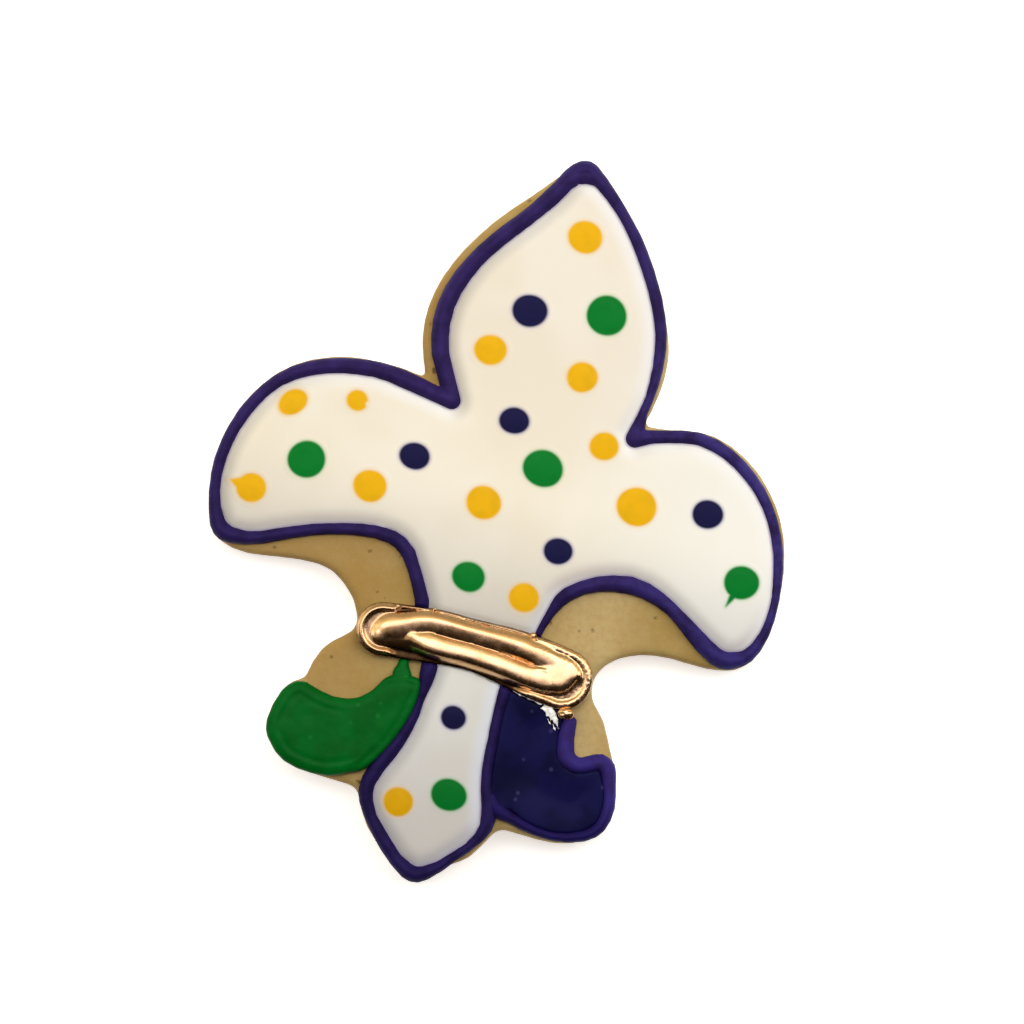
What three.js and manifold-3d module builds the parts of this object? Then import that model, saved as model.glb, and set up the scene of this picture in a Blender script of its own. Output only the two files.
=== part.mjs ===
// A fleur-de-lis butter cookie decorated with royal icing: a rolled and cut cookie, white icing flooded
// inside piped purple lines, coloured dots let into the white, two filled curls and a gold band.
// Millimetres, +Z up. The cookie lies on z = 0 with its tip towards +Y, centred on its own outline.

import * as THREE from "three";
import { mergeVertices } from "three/addons/utils/BufferGeometryUtils.js";
import Module from "manifold-3d";

const wasm = await Module();
wasm.setup();

// Driving dimensions: heights
const COOKIE_THICKNESS = 7;
const WHITE_DEPTH = 1.15;
const PURPLE_FLOOD_DEPTH = 1.05;
const GREEN_DEPTH = 1.8;
const BAND_HEIGHT = 3;
const BAND_RIM_HEIGHT = 1.9;
const BAND_VALLEY_DEPTH = 0.45; // below the rim
const DOT_RISE = 0.22;
const LINE_HEIGHT_BASE = 0.75; // a piped line is this high, and higher by the share of its width below
const LINE_HEIGHT_PER_WIDTH = 0.4;

// Driving dimensions: edges and clear space
const COOKIE_EDGE_ROUNDING = 0.8;
const COOKIE_FOOT_ROUNDING = 0.5;
const ICING_EDGE_ROUNDING = 0.6;
const GREEN_EDGE_ROUNDING = 1.1;
const ICING_GAP = 0.12; // between a flooded area and the piped line round it
const BAND_GAP = 0.3; // between the band and the icing that runs up to it

// Fineness of the faceted surfaces
const COOKIE_STEP = 2.4;
const LINE_STEP = 2.2;
const CLOSEST_STEP = 0.5;
const MAX_TURN = 0.28; // radians between neighbouring points
const LINE_SEGMENTS = 6;
const BAND_END_SEGMENTS = 8;
const MIN_OUTLINE_STEP = 0.7;
const SHARPEST_CORNER = 1.9; // radians, of an icing edge

// Edge of the cut cookie, clockwise, as smooth runs from corner to corner: [x, y]
const COOKIE_EDGE = [
  [ // middle petal, from the left notch over the tip to the right notch
    [-14.5, 16.7], [-15.3, 18.8], [-16.2, 21.5], [-16.6, 25], [-15.9, 30], [-13.8, 35], [-10.5, 40],
    [-6.1, 45], [-2.5, 49], [-0.2, 50.7], [2.1, 49.7], [6.4, 45.8], [10, 41.7], [13.2, 37], [15.6, 32.5],
    [17.1, 28], [17.4, 24.5], [16.9, 20.5], [16.2, 17.6],
  ],
  [ // right petal, its bay, the waist and the right shoulder of the foot
    [16.2, 17.6], [20, 17.9], [24, 18.7], [27, 18.35], [30.2, 17], [34.4, 13.8], [38, 8.7], [39.6, 3.4],
    [40, -1.5], [39.7, -6], [38.6, -10], [36.5, -12], [34, -12.65], [30, -12.75], [26, -12.65],
    [22, -13.6], [19.7, -15], [18.2, -17], [17.9, -19], [18.5, -20.8], [19.8, -22.2], [21.2, -24.1],
    [22.1, -26.2],
  ],
  [ // right curl
    [22.1, -26.2], [23.8, -29.5], [24.7, -32.5], [25, -35], [24.2, -37.7], [22.5, -39.4], [19.5, -40.8],
    [16.5, -41.2], [13, -41.1], [10.8, -41], [9.7, -41.6],
  ],
  [ // tail
    [9.7, -41.6], [9, -43], [7, -46], [4.6, -47.6], [2.5, -49.8], [0.3, -50.7], [-2, -49.9], [-4.4, -48],
    [-7.2, -45.4], [-9.2, -42.2], [-9.9, -40.6],
  ],
  [ // left curl
    [-9.9, -40.6], [-11, -40.1], [-14, -39.95], [-18, -39.7], [-21, -38.9], [-23.4, -36.8], [-24.4, -34],
    [-23.9, -31], [-22.6, -28.5], [-20.7, -27.3],
  ],
  [ // left shoulder of the foot, the waist, the left bay and the left petal
    [-20.7, -27.3], [-20.45, -26], [-20, -24.2], [-18.9, -22.2], [-17.2, -20.6], [-16, -19.5],
    [-15.6, -18.4], [-15.8, -17.2], [-16.8, -15.2], [-18.4, -13.5], [-20.6, -12.1], [-23, -11.65],
    [-26, -11.8], [-30, -12.4], [-33, -12.65], [-35.5, -12.3], [-37.5, -11.2], [-38.6, -8.5],
    [-39.6, -5], [-39.9, -1.5], [-39.6, 2], [-38.7, 5.6], [-37, 9.2], [-34.2, 12.8], [-31, 15.1],
    [-27, 16.7], [-23, 17.3], [-19, 17.3], [-16.5, 17], [-14.5, 16.7],
  ],
];

// Piped lines, each laid clockwise round its white area: [x, y, width]
const LEFT_PETAL_LINE = [
  [-6.7, -15, 1.8], [-7.95, -12.2, 1.8], [-9.4, -9.6, 1.75], [-10.9, -7.2, 1.9], [-13, -5.75, 1.9],
  [-16, -5.4, 1.8], [-20, -6, 1.6], [-24, -7.05, 1.5], [-28, -8.6, 1.6], [-32, -10.25, 1.7],
  [-34.5, -10.65, 2], [-36.3, -10.4, 2.4], [-37.3, -9.5, 2.1], [-38, -8, 1.7], [-38.65, -6, 1.5],
  [-39.1, -3, 1.5], [-38.85, 1, 1.5], [-37.6, 5.6, 1.6], [-35.2, 10, 1.7], [-32, 13.05, 1.9],
  [-28, 14.95, 2], [-24, 15.9, 2.15], [-20, 16.1, 2.2], [-16.5, 15.6, 2.4], [-13, 14.9, 2.2],
  [-10.2, 14.5, 2.4],
];
const MIDDLE_PETAL_LINE = [
  [-10.2, 14.5, 2.4], [-12, 18, 2.2], [-13.5, 21, 2.4], [-14.2, 25, 2.4], [-13.75, 29, 2.35],
  [-11.7, 34, 2.25], [-8.95, 38, 2.2], [-5.7, 42, 2.15], [-3.6, 45, 2.4], [-2.4, 47, 2.3],
  [-1.5, 48.7, 2.3], [-0.1, 49.75, 2.3], [1.4, 49.2, 2.1], [3, 47.9, 1.8], [5.25, 46, 1.5],
  [8.9, 42, 1.5], [11.65, 38, 1.6], [13.9, 34, 1.6], [15.4, 30, 1.55], [16, 26, 1.4], [16, 22, 1.25],
  [15.55, 19, 1.2], [15.3, 15.5, 2.5],
];
const RIGHT_PETAL_LINE = [
  [15.3, 15.5, 2.5], [17, 16.1, 1.9], [20, 16.9, 1.65], [24, 17.6, 1.75], [28, 16.6, 1.7],
  [32.2, 14, 1.6], [35.3, 10.7, 1.4], [37.7, 6.3, 1.35], [39, 1.3, 1.2], [39.35, -3, 1], [38.8, -7, 1.3],
  [37.2, -9.9, 1.9], [34.4, -11, 2.5], [31.8, -10, 2.2], [28, -7.3, 1.6], [24, -5, 1.85],
  [20, -4.1, 2.4], [16, -4.75, 2.1], [13, -6.2, 1.9], [11, -8, 1.9], [10, -10.2, 1.2],
  [9.25, -12.4, 0.9], [8.7, -15, 0.8],
];
const TIP_POOL = [[-0.5, 48.8, 2], [1, 48.8, 2]]; // where the line was turned at the tip
const TAIL_LINE = [
  [6.4, -20.5, 1.6], [6.4, -22.6, 1.6], [6.3, -26, 1.4], [6.5, -30, 1.5], [6.75, -34, 1.5],
  [7.4, -36.6, 1.6], [8.3, -39, 2], [8.35, -41.2, 1.8], [7.2, -43.6, 1.2], [5, -46.1, 1.25],
  [2.6, -48.6, 1.7], [0.3, -49.65, 2.3], [-2.4, -48.4, 1.8], [-5, -45.9, 1.85], [-7.6, -42.9, 1.6],
  [-8.75, -40.2, 1.95], [-8.5, -38, 1.95], [-7.2, -35, 2.1], [-5.9, -32, 1.85], [-4.9, -28.5, 1.5],
  [-4.65, -26.2, 1.3], [-4.4, -24, 1.8], [-4.4, -20, 1.9],
];
const CURL_LINE = [
  [16, -24.2, 2], [16.1, -27, 2.3], [16.9, -29.2, 2.4], [18.7, -29.8, 2.2], [20.3, -29.1, 2.2],
  [21.5, -28.6, 2.2], [22.5, -29.1, 2.1], [23.2, -30.6, 1.8], [23.7, -32.5, 1.6], [24.05, -35, 1.7],
  [23.3, -37.6, 1.6], [21.2, -39.2, 1.4], [17.2, -40.05, 1.15], [13.5, -39.6, 1.3], [10.8, -38.6, 1.6],
  [9.8, -37.8, 1.5],
];

// Free edge of the green curl, clockwise from the tail line to the stroke that runs up to the band
const GREEN_EDGE = [
  [-10.2, -37.4], [-12, -38.6], [-14, -39.4], [-16, -39.65], [-18.5, -39.5], [-20.5, -39],
  [-22.2, -37.9], [-24, -35.6], [-24.3, -33.5], [-23.7, -30.7], [-23, -29.1], [-22, -28.1],
  [-20.9, -27.6], [-19.5, -27.9], [-18, -28.4], [-16.5, -28.7], [-14.5, -28.6], [-13, -28.1],
  [-11.5, -27], [-10.2, -25.6], [-9.2, -24.5], [-8.2, -24],
];
const GREEN_STROKE = [[-8, -20.8, 1.3], [-7.95, -22.6, 1.5], [-7.6, -24.4, 2]];
const GREEN_ALONG_TAIL = [-36.2, -23.8]; // from and to, in y

// Gold band: axis and width of its outline, the long groove in its cushion and the bead at its lower edge
const BAND_AXIS = [
  [-11.8, -18.1, 7.4], [-5, -17.4, 7.5], [0.5, -17.25, 7.1], [5.5, -17.6, 7.9], [10, -18.25, 8.5],
  [13.6, -18.8, 8.4],
];
const BAND_GROOVE = { x: 2.1, y: -16.8, length: 17.6, width: 1.7, depth: 0.7, turn: -4.8 };
const BAND_BEAD = { x: 15.3, y: -23.3, width: 1.7, height: 1.5 };

// Dots, by colour: [x, y, width, height, turn in degrees]
const YELLOW_DOTS = [
  [2.05, 40.6, 4.7, 4.4], [6.3, 21.9, 4.25, 4.05], [-6.8, 22.5, 4.4, 4.1], [-31.3, 9.05, 4.3, 3.2, 45],
  [-22.8, 11.4, 2.95, 2.8], [-18.3, 0.45, 4.5, 4.4], [-34, -3.7, 4, 4], [-2.65, 2, 4.75, 4.55],
  [11.5, 13.45, 3.95, 3.8], [17.8, 6.5, 5.4, 5.3], [5.85, -9.3, 4.05, 4], [-4.1, -40.55, 4, 4],
];
const GREEN_DOTS = [
  [7.5, 30.9, 5.4, 5.3], [-27.6, 1.9, 5.05, 4.95], [4.1, 8.5, 5.45, 4.9], [-2.2, -8.35, 4.4, 4],
  [34.25, -0.1, 4.65, 4.5], [2.4, -37.95, 4.8, 4.25],
];
const PURPLE_DOTS = [
  [-2.85, 29, 4.8, 4.25], [-1.3, 13.9, 4.05, 3.5], [-13.35, 5.9, 4.05, 3.6], [27.5, 7.85, 4.1, 3.85],
  [8.85, -2, 3.85, 3.5], [0.45, -27.55, 3.35, 3.15],
];
// Two dots were drawn out to a point: the drag is a slender dot of its own
const DOT_DRAGS = [[-35.6, -3.5, 3, 1.2, -8], [33.4, -2.6, 2.6, 0.6, 70]];

// Colour, roughness and metalness of each piece
const FINISHES = {
  cookie: [0xb5945a, 0.85, 0],
  white_icing: [0xf3ece0, 0.45, 0],
  purple_icing: [0x382a70, 0.45, 0],
  purple_flood: [0x1b1848, 0.4, 0],
  green_icing: [0x066b22, 0.45, 0],
  gold_icing: [0xc89a5c, 0.25, 1],
};

const RIGHT = 1;
const LEFT = -1;

// Points on a smooth curve through the knots, closer than a step where it bends; z is a line's width
function smoothRun(knots, step) {
  const through = knots.map(([x, y, width = 0]) => new THREE.Vector3(x, y, width));
  const curve = new THREE.CatmullRomCurve3(through, false, "centripetal");
  const fine = curve.getSpacedPoints(Math.ceil((4 * curve.getLength()) / CLOSEST_STEP));
  const kept = [fine[0]];
  let travelled = 0;
  let turned = 0;
  for (let i = 1; i + 1 < fine.length; i++) {
    travelled += fine[i].distanceTo(fine[i - 1]);
    turned += Math.abs(turnAt(fine[i - 1], fine[i], fine[i + 1]));
    if (travelled < step && (turned < MAX_TURN || travelled < CLOSEST_STEP)) continue;
    kept.push(fine[i]);
    travelled = 0;
    turned = 0;
  }
  if (travelled < CLOSEST_STEP) kept.pop();
  return [...kept, fine.at(-1)];
}

// Change of heading at the middle one of three points, in radians, positive to the left
function turnAt(before, at, after) {
  const [ax, ay] = [at.x - before.x, at.y - before.y];
  const [bx, by] = [after.x - at.x, after.y - at.y];
  return Math.atan2(ax * by - ay * bx, ax * bx + ay * by);
}

// Unit vector to the right of the direction of travel at one point of a path
function rightOf(path, i) {
  const ahead = path[Math.min(i + 1, path.length - 1)];
  const behind = path[Math.max(i - 1, 0)];
  return new THREE.Vector2(ahead.y - behind.y, behind.x - ahead.x).normalize();
}

// Points beside a line, clear of its bead by the icing gap
function beside(path, side) {
  return path.map((p, i) => {
    const reach = side * (p.z / 2 + ICING_GAP);
    const right = rightOf(path, i);
    return new THREE.Vector2(p.x + right.x * reach, p.y + right.y * reach);
  });
}

// Points round the meeting of two lines, from beside the first to beside the second
function roundJoint(first, second) {
  const centre = second[0];
  const radius = centre.z / 2 + ICING_GAP;
  const from = rightOf(first, first.length - 1).angle();
  const fullTurn = 2 * Math.PI;
  const turn = (rightOf(second, 0).angle() - from + fullTurn) % fullTurn;
  return [0.25, 0.5, 0.75].map((share) => onCircle(centre, radius, from + share * turn));
}

function onCircle(centre, radius, angle) {
  return new THREE.Vector2(centre.x + radius * Math.cos(angle), centre.y + radius * Math.sin(angle));
}

// The points that no bead reaches, well apart and without spikes: an outline for icing between the lines
function clearOf(points, paths) {
  const slack = 0.02;
  const covered = (q) => (p) => Math.hypot(q.x - p.x, q.y - p.y) < p.z / 2 + ICING_GAP - slack;
  const free = points.filter((q) => !paths.some((path) => path.some(covered(q))));
  const spaced = [];
  for (const q of free) {
    if (spaced.length === 0 || q.distanceTo(spaced.at(-1)) >= MIN_OUTLINE_STEP) spaced.push(q);
  }
  const count = spaced.length;
  const turn = (q, i) => turnAt(spaced[(i + count - 1) % count], q, spaced[(i + 1) % count]);
  return spaced.filter((q, i) => turn(q, i) > -SHARPEST_CORNER);
}

// Outline of a band laid along an axis, grown outwards on all sides, with round ends
function roundEndedOutline(axis, grow) {
  const edge = (side) => axis.map((p, i) => {
    const reach = side * (p.z / 2 + grow);
    const right = rightOf(axis, i);
    return new THREE.Vector2(p.x + right.x * reach, p.y + right.y * reach);
  });
  const end = (i) => {
    const right = rightOf(axis, i);
    const from = i === 0 ? right.angle() : right.angle() + Math.PI;
    const radius = axis[i].z / 2 + grow;
    const arc = [];
    for (let k = 1; k < BAND_END_SEGMENTS; k++) {
      arc.push(onCircle(axis[i], radius, from - (Math.PI * k) / BAND_END_SEGMENTS));
    }
    return arc;
  };
  return [...edge(RIGHT).reverse(), ...end(0), ...edge(LEFT), ...end(axis.length - 1)];
}

// The outline moved inwards by the same distance all round
function insetOutline(outline, inset) {
  const inward = THREE.ShapeUtils.isClockWise(outline) ? 1 : -1;
  const count = outline.length;
  return outline.map((p, i) => {
    const ahead = outline[(i + 1) % count];
    const behind = outline[(i + count - 1) % count];
    const normal = new THREE.Vector2(ahead.y - behind.y, behind.x - ahead.x).normalize();
    return p.clone().addScaledVector(normal, inward * inset);
  });
}

// A closed geometry through rings of points with equal counts, bottom to top, with flat ends
function loft(rings) {
  const count = rings[0].length;
  const turned = THREE.ShapeUtils.isClockWise(rings[0]);
  const ordered = turned ? rings.map((ring) => [...ring].reverse()) : rings;
  const triangles = [];
  for (let r = 0; r + 1 < ordered.length; r++) {
    for (let i = 0; i < count; i++) {
      const j = (i + 1) % count;
      const [a, b] = [r * count + i, r * count + j];
      triangles.push(a, b, b + count, a, b + count, a + count);
    }
  }
  const top = (ordered.length - 1) * count;
  for (const [a, b, c] of THREE.ShapeUtils.triangulateShape(ordered[0], [])) triangles.push(a, c, b);
  for (const [a, b, c] of THREE.ShapeUtils.triangulateShape(ordered.at(-1), [])) {
    triangles.push(top + a, top + b, top + c);
  }
  return closedGeometry(ordered.flat().flatMap((p) => [p.x, p.y, p.z]), triangles);
}

function closedGeometry(positions, triangles) {
  const geometry = new THREE.BufferGeometry();
  geometry.setAttribute("position", new THREE.Float32BufferAttribute(positions, 3));
  geometry.setIndex(triangles);
  return geometry;
}

// A closed solid over an outline: each profile entry is [inset, z], from the foot up
function mound(outline, profile) {
  const ring = (inset, z) => insetOutline(outline, inset).map((p) => new THREE.Vector3(p.x, p.y, z));
  return loft(profile.map(([inset, z]) => ring(inset, z)));
}

// A flooded area of icing on the cookie: a low wall, a rounded shoulder and a flat top
function flood(outline, depth, rounding) {
  const base = COOKIE_THICKNESS;
  return mound(outline, [
    [0, base], [0, base + 0.6 * depth], [0.3 * rounding, base + 0.87 * depth], [rounding, base + depth],
  ]);
}

// A piped bead of icing along a path, as wide as the path says, domed, flat underneath, with rounded ends
function pipedLine(path) {
  const last = path.length - 1;
  const stations = path.map((p, i) => {
    return { x: p.x, y: p.y, right: rightOf(path, i), half: p.z / 2, swell: 1 };
  });
  const roundedEnd = (i, towards) => [0.2, 0.55, 1].map((angle) => {
    const half = path[i].z / 2;
    const along = new THREE.Vector2(path[towards].x - path[i].x, path[towards].y - path[i].y).normalize();
    const { x, y } = path[i];
    const reach = half * Math.cos(angle);
    const right = rightOf(path, i);
    return { x: x - along.x * reach, y: y - along.y * reach, right, half, swell: Math.sin(angle) };
  });
  const all = [...roundedEnd(0, 1), ...stations, ...roundedEnd(last, last - 1).reverse()];
  const positions = [];
  const triangles = [];
  const ring = LINE_SEGMENTS + 1;
  for (const { x, y, right, half, swell } of all) {
    const height = (LINE_HEIGHT_BASE + LINE_HEIGHT_PER_WIDTH * 2 * half) * swell;
    for (let k = 0; k < ring; k++) {
      const angle = (Math.PI * k) / LINE_SEGMENTS;
      const across = half * swell * Math.cos(angle);
      const up = height * Math.sin(angle);
      positions.push(x + right.x * across, y + right.y * across, COOKIE_THICKNESS + up);
    }
  }
  for (let s = 0; s + 1 < all.length; s++) {
    for (let k = 0; k < ring; k++) {
      const [a, b] = [s * ring + k, s * ring + ((k + 1) % ring)];
      triangles.push(a, a + ring, b + ring, a, b + ring, b);
    }
  }
  const end = (all.length - 1) * ring;
  for (let k = 1; k + 1 < ring; k++) {
    triangles.push(0, k, k + 1);
    triangles.push(end, end + k + 1, end + k);
  }
  return closedGeometry(positions, triangles);
}

// A slightly domed dot, half of it above the surface it is let into
function dot([x, y, width, height, turn = 0], z) {
  const geometry = new THREE.SphereGeometry(1, 12, 6);
  geometry.rotateX(Math.PI / 2);
  geometry.scale(width / 2, height / 2, DOT_RISE);
  geometry.rotateZ(THREE.MathUtils.degToRad(turn));
  geometry.translate(x, y, z);
  return geometry;
}

// Joining and cutting of closed geometries
function solid(geometry) {
  const bare = geometry.clone();
  for (const name of ["normal", "uv"]) bare.deleteAttribute(name);
  const merged = mergeVertices(bare, 1e-5);
  const index = Array.from(merged.index.array);
  const corners = [];
  for (let i = 0; i < index.length; i += 3) {
    const [a, b, c] = index.slice(i, i + 3);
    if (a !== b && b !== c && c !== a) corners.push(a, b, c);
  }
  return new wasm.Manifold(new wasm.Mesh({
    numProp: 3,
    vertProperties: new Float32Array(merged.attributes.position.array),
    triVerts: new Uint32Array(corners),
  }));
}

function surface(manifold) {
  const mesh = manifold.getMesh();
  return closedGeometry(Array.from(mesh.vertProperties), Array.from(mesh.triVerts));
}

function joined(geometries) {
  return geometries.map(solid).reduce((whole, piece) => whole.add(piece));
}

// Lines and outlines
const leftLine = smoothRun(LEFT_PETAL_LINE, LINE_STEP);
const middleLine = smoothRun(MIDDLE_PETAL_LINE, LINE_STEP);
const rightLine = smoothRun(RIGHT_PETAL_LINE, LINE_STEP);
const tailLine = smoothRun(TAIL_LINE, LINE_STEP);
const curlLine = smoothRun(CURL_LINE, LINE_STEP);
const bandAxis = smoothRun(BAND_AXIS, LINE_STEP);
const petalLines = [leftLine, middleLine, rightLine, smoothRun(TIP_POOL, LINE_STEP)];
const footLines = [tailLine, curlLine];

const besideTail = beside(tailLine, LEFT).reverse();
const [greenFrom, greenTo] = GREEN_ALONG_TAIL;
const alongGreen = besideTail.filter((p) => p.x < 0 && p.y > greenFrom && p.y < greenTo);
const alongCurl = besideTail.filter((p) => p.x > 0 && p.y > CURL_LINE.at(-1)[1]);

const cookieOutline = COOKIE_EDGE.flatMap((run) => smoothRun(run, COOKIE_STEP).slice(0, -1));
const whiteTopOutline = clearOf([
  ...beside(leftLine, RIGHT), ...roundJoint(leftLine, middleLine), ...beside(middleLine, RIGHT),
  ...roundJoint(middleLine, rightLine), ...beside(rightLine, RIGHT),
], petalLines);
const whiteTailOutline = clearOf(beside(tailLine, RIGHT), [tailLine]);
const underBand = new THREE.Vector2(beside(curlLine, RIGHT)[0].x, TAIL_LINE[0][1]);
const purpleFloodOutline = clearOf([...beside(curlLine, RIGHT), ...alongCurl, underBand], footLines);
const greenFreeEdge = smoothRun(GREEN_EDGE, LINE_STEP).map((p) => new THREE.Vector2(p.x, p.y));
const greenOutline = clearOf([...greenFreeEdge, ...alongGreen], [tailLine]);

// Gold band: an outer bead, a valley inside it and a raised cushion with a long groove
function bandSolid() {
  const base = COOKIE_THICKNESS;
  const valley = BAND_RIM_HEIGHT - BAND_VALLEY_DEPTH;
  const profile = [
    [0.25, 0], [0, 0.6], [0.1, 1.3], [0.45, BAND_RIM_HEIGHT - 0.1], [0.8, BAND_RIM_HEIGHT],
    [1.2, valley + 0.1], [1.4, valley], [1.7, valley + 0.35],
    [2.1, BAND_HEIGHT - 0.45], [2.6, BAND_HEIGHT - 0.1], [3.1, BAND_HEIGHT],
  ];
  const rings = profile.map(([inset, z]) =>
    roundEndedOutline(bandAxis, -inset).map((p) => new THREE.Vector3(p.x, p.y, base + z)));
  const groove = new THREE.SphereGeometry(1, 24, 8);
  groove.scale(BAND_GROOVE.length / 2, BAND_GROOVE.width / 2, BAND_GROOVE.depth);
  groove.rotateZ(THREE.MathUtils.degToRad(BAND_GROOVE.turn));
  groove.translate(BAND_GROOVE.x, BAND_GROOVE.y, base + BAND_HEIGHT);
  return solid(loft(rings)).add(solid(beadGeometry(0))).subtract(solid(groove));
}

// The bead at the band's lower edge, grown on all sides, with its underside on the cookie
function beadGeometry(grow) {
  const radius = BAND_BEAD.width / 2 + grow;
  const profile = [[0, 0], [1, 0], [1, 0.55], [0.8, 0.85], [0.45, 1], [0, 1]].map(([across, up]) =>
    new THREE.Vector2(across * radius, up * (BAND_BEAD.height + grow)));
  const geometry = new THREE.LatheGeometry(profile, 12);
  geometry.rotateX(Math.PI / 2);
  geometry.translate(BAND_BEAD.x, BAND_BEAD.y, COOKIE_THICKNESS);
  return geometry;
}

// What the band and its bead take up, with clear space round them
function bandClearance() {
  const outline = roundEndedOutline(bandAxis, BAND_GAP);
  const walls = mound(outline, [[0, COOKIE_THICKNESS - 1], [0, COOKIE_THICKNESS + 2 * BAND_HEIGHT]]);
  const bead = beadGeometry(BAND_GAP);
  bead.translate(0, 0, -COOKIE_THICKNESS);
  bead.scale(1, 1, 4);
  bead.translate(0, 0, COOKIE_THICKNESS - 1);
  return solid(walls).add(solid(bead));
}

// The rolled dough, a little wider at half height than at its foot and its top edge
function cookieGeometry(outline) {
  const [foot, edge] = [COOKIE_FOOT_ROUNDING, COOKIE_EDGE_ROUNDING];
  const top = COOKIE_THICKNESS;
  return mound(outline, [
    [foot, 0], [0.2 * foot, 0.7 * foot], [0, 0.35 * top],
    [0.12 * edge, top - 1.6 * edge], [0.35 * edge, top - 0.35 * edge], [edge, top],
  ]);
}

// White icing with the dots that lie on it
function dottedFlood(outline, dots) {
  const top = COOKIE_THICKNESS + WHITE_DEPTH;
  return joined([flood(outline, WHITE_DEPTH, ICING_EDGE_ROUNDING), ...dots.map((each) => dot(each, top))]);
}

const allDots = [...YELLOW_DOTS, ...GREEN_DOTS, ...PURPLE_DOTS, ...DOT_DRAGS];
const bandMiddle = BAND_AXIS[2][1];
const topDots = allDots.filter(([, y]) => y > bandMiddle);
const tailDots = allDots.filter(([, y]) => y < bandMiddle);
const clearance = bandClearance();

// The decorated cookie
const decoratedCookie = new THREE.Group();

function addPiece(name, geometry, finish) {
  const [color, roughness, metalness] = FINISHES[finish];
  const mesh = new THREE.Mesh(geometry, new THREE.MeshStandardMaterial({ color, roughness, metalness }));
  mesh.name = name;
  decoratedCookie.add(mesh);
}

const cutBack = (manifold) => surface(manifold.subtract(clearance));

addPiece("cookie", cookieGeometry(cookieOutline), "cookie");
addPiece("white_icing_top", cutBack(dottedFlood(whiteTopOutline, topDots)), "white_icing");
addPiece("white_icing_tail", cutBack(dottedFlood(whiteTailOutline, tailDots)), "white_icing");
addPiece("purple_line_top", cutBack(joined(petalLines.map(pipedLine))), "purple_icing");
addPiece("purple_line_tail", cutBack(solid(pipedLine(tailLine))), "purple_icing");
addPiece("purple_curl_line", cutBack(solid(pipedLine(curlLine))), "purple_icing");
const purpleFlood = flood(purpleFloodOutline, PURPLE_FLOOD_DEPTH, ICING_EDGE_ROUNDING);
addPiece("purple_curl", cutBack(solid(purpleFlood)), "purple_flood");
const greenStroke = pipedLine(smoothRun(GREEN_STROKE, LINE_STEP));
const greenCurl = joined([flood(greenOutline, GREEN_DEPTH, GREEN_EDGE_ROUNDING), greenStroke]);
addPiece("green_curl", cutBack(greenCurl), "green_icing");
addPiece("gold_band", surface(bandSolid()), "gold_icing");

export default decoratedCookie;
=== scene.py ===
"""Dresses a plain fleur-de-lis cookie: baked dough, royal icing, coloured dots, a gold band and the studio.

Lengths are in metres. Every piece lies where its plain solid lies, with the dough's underside at height 0.
"""

import math
import random

import bpy
import numpy
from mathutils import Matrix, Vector
from mathutils.kdtree import KDTree


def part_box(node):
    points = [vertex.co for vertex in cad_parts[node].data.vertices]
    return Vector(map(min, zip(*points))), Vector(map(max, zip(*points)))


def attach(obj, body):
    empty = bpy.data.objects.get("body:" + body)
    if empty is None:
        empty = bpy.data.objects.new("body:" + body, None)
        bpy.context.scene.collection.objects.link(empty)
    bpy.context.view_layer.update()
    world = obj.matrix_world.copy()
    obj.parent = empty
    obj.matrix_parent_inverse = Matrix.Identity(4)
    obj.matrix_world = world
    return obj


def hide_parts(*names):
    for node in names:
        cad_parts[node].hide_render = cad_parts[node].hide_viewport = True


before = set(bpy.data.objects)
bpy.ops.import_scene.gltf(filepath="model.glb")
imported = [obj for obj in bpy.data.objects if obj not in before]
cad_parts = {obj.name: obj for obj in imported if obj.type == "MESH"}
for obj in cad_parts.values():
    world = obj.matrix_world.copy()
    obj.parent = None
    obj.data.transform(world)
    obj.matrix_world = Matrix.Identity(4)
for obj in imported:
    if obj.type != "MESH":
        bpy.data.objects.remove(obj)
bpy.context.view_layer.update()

bl_info = {
    "name": "Iced fleur-de-lis cookie",
    "version": (1, 0, 0),
    "blender": (4, 5, 0),
    "location": "View3D > Sidebar > Cookie",
    "description": "Dresses a plain cookie with crumb, royal icing, dots and a gold band",
    "category": "Object",
}

MM = 0.001
# A length that counts as none, so that nothing is divided by 0
NO_LENGTH = 1e-9
# Start of the random draws
SEED = 7
DOUGH_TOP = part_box("cookie")[1].z

# How far a vertex faces up or down, from 0 to 1: beyond these it is on top, on a flat or underneath
ON_TOP = 0.4
ON_FLAT = 0.6
UNDERNEATH = 0.8
# Within this it is on a wall
ON_WALL = 0.5

# Dots let into the white icing, in millimetres: x, y, width, height, turn in degrees
YELLOW_DOTS = [
    (2.05, 40.6, 4.7, 4.4, 0), (6.3, 21.9, 4.25, 4.05, 0), (-6.8, 22.5, 4.4, 4.1, 0),
    (-31.3, 9.05, 4.3, 3.2, 45), (-22.8, 11.4, 2.95, 2.8, 0), (-18.3, 0.45, 4.5, 4.4, 0),
    (-34, -3.7, 4, 4, 0), (-2.65, 2, 4.75, 4.55, 0), (11.5, 13.45, 3.95, 3.8, 0),
    (17.8, 6.5, 5.4, 5.3, 0), (5.85, -9.3, 4.05, 4, 0), (-4.1, -40.55, 4, 4, 0),
]
GREEN_DOTS = [
    (7.5, 30.9, 5.4, 5.3, 0), (-27.6, 1.9, 5.05, 4.95, 0), (4.1, 8.5, 5.45, 4.9, 0),
    (-2.2, -8.35, 4.4, 4, 0), (34.25, -0.1, 4.65, 4.5, 0), (2.4, -37.95, 4.8, 4.25, 0),
]
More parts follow.
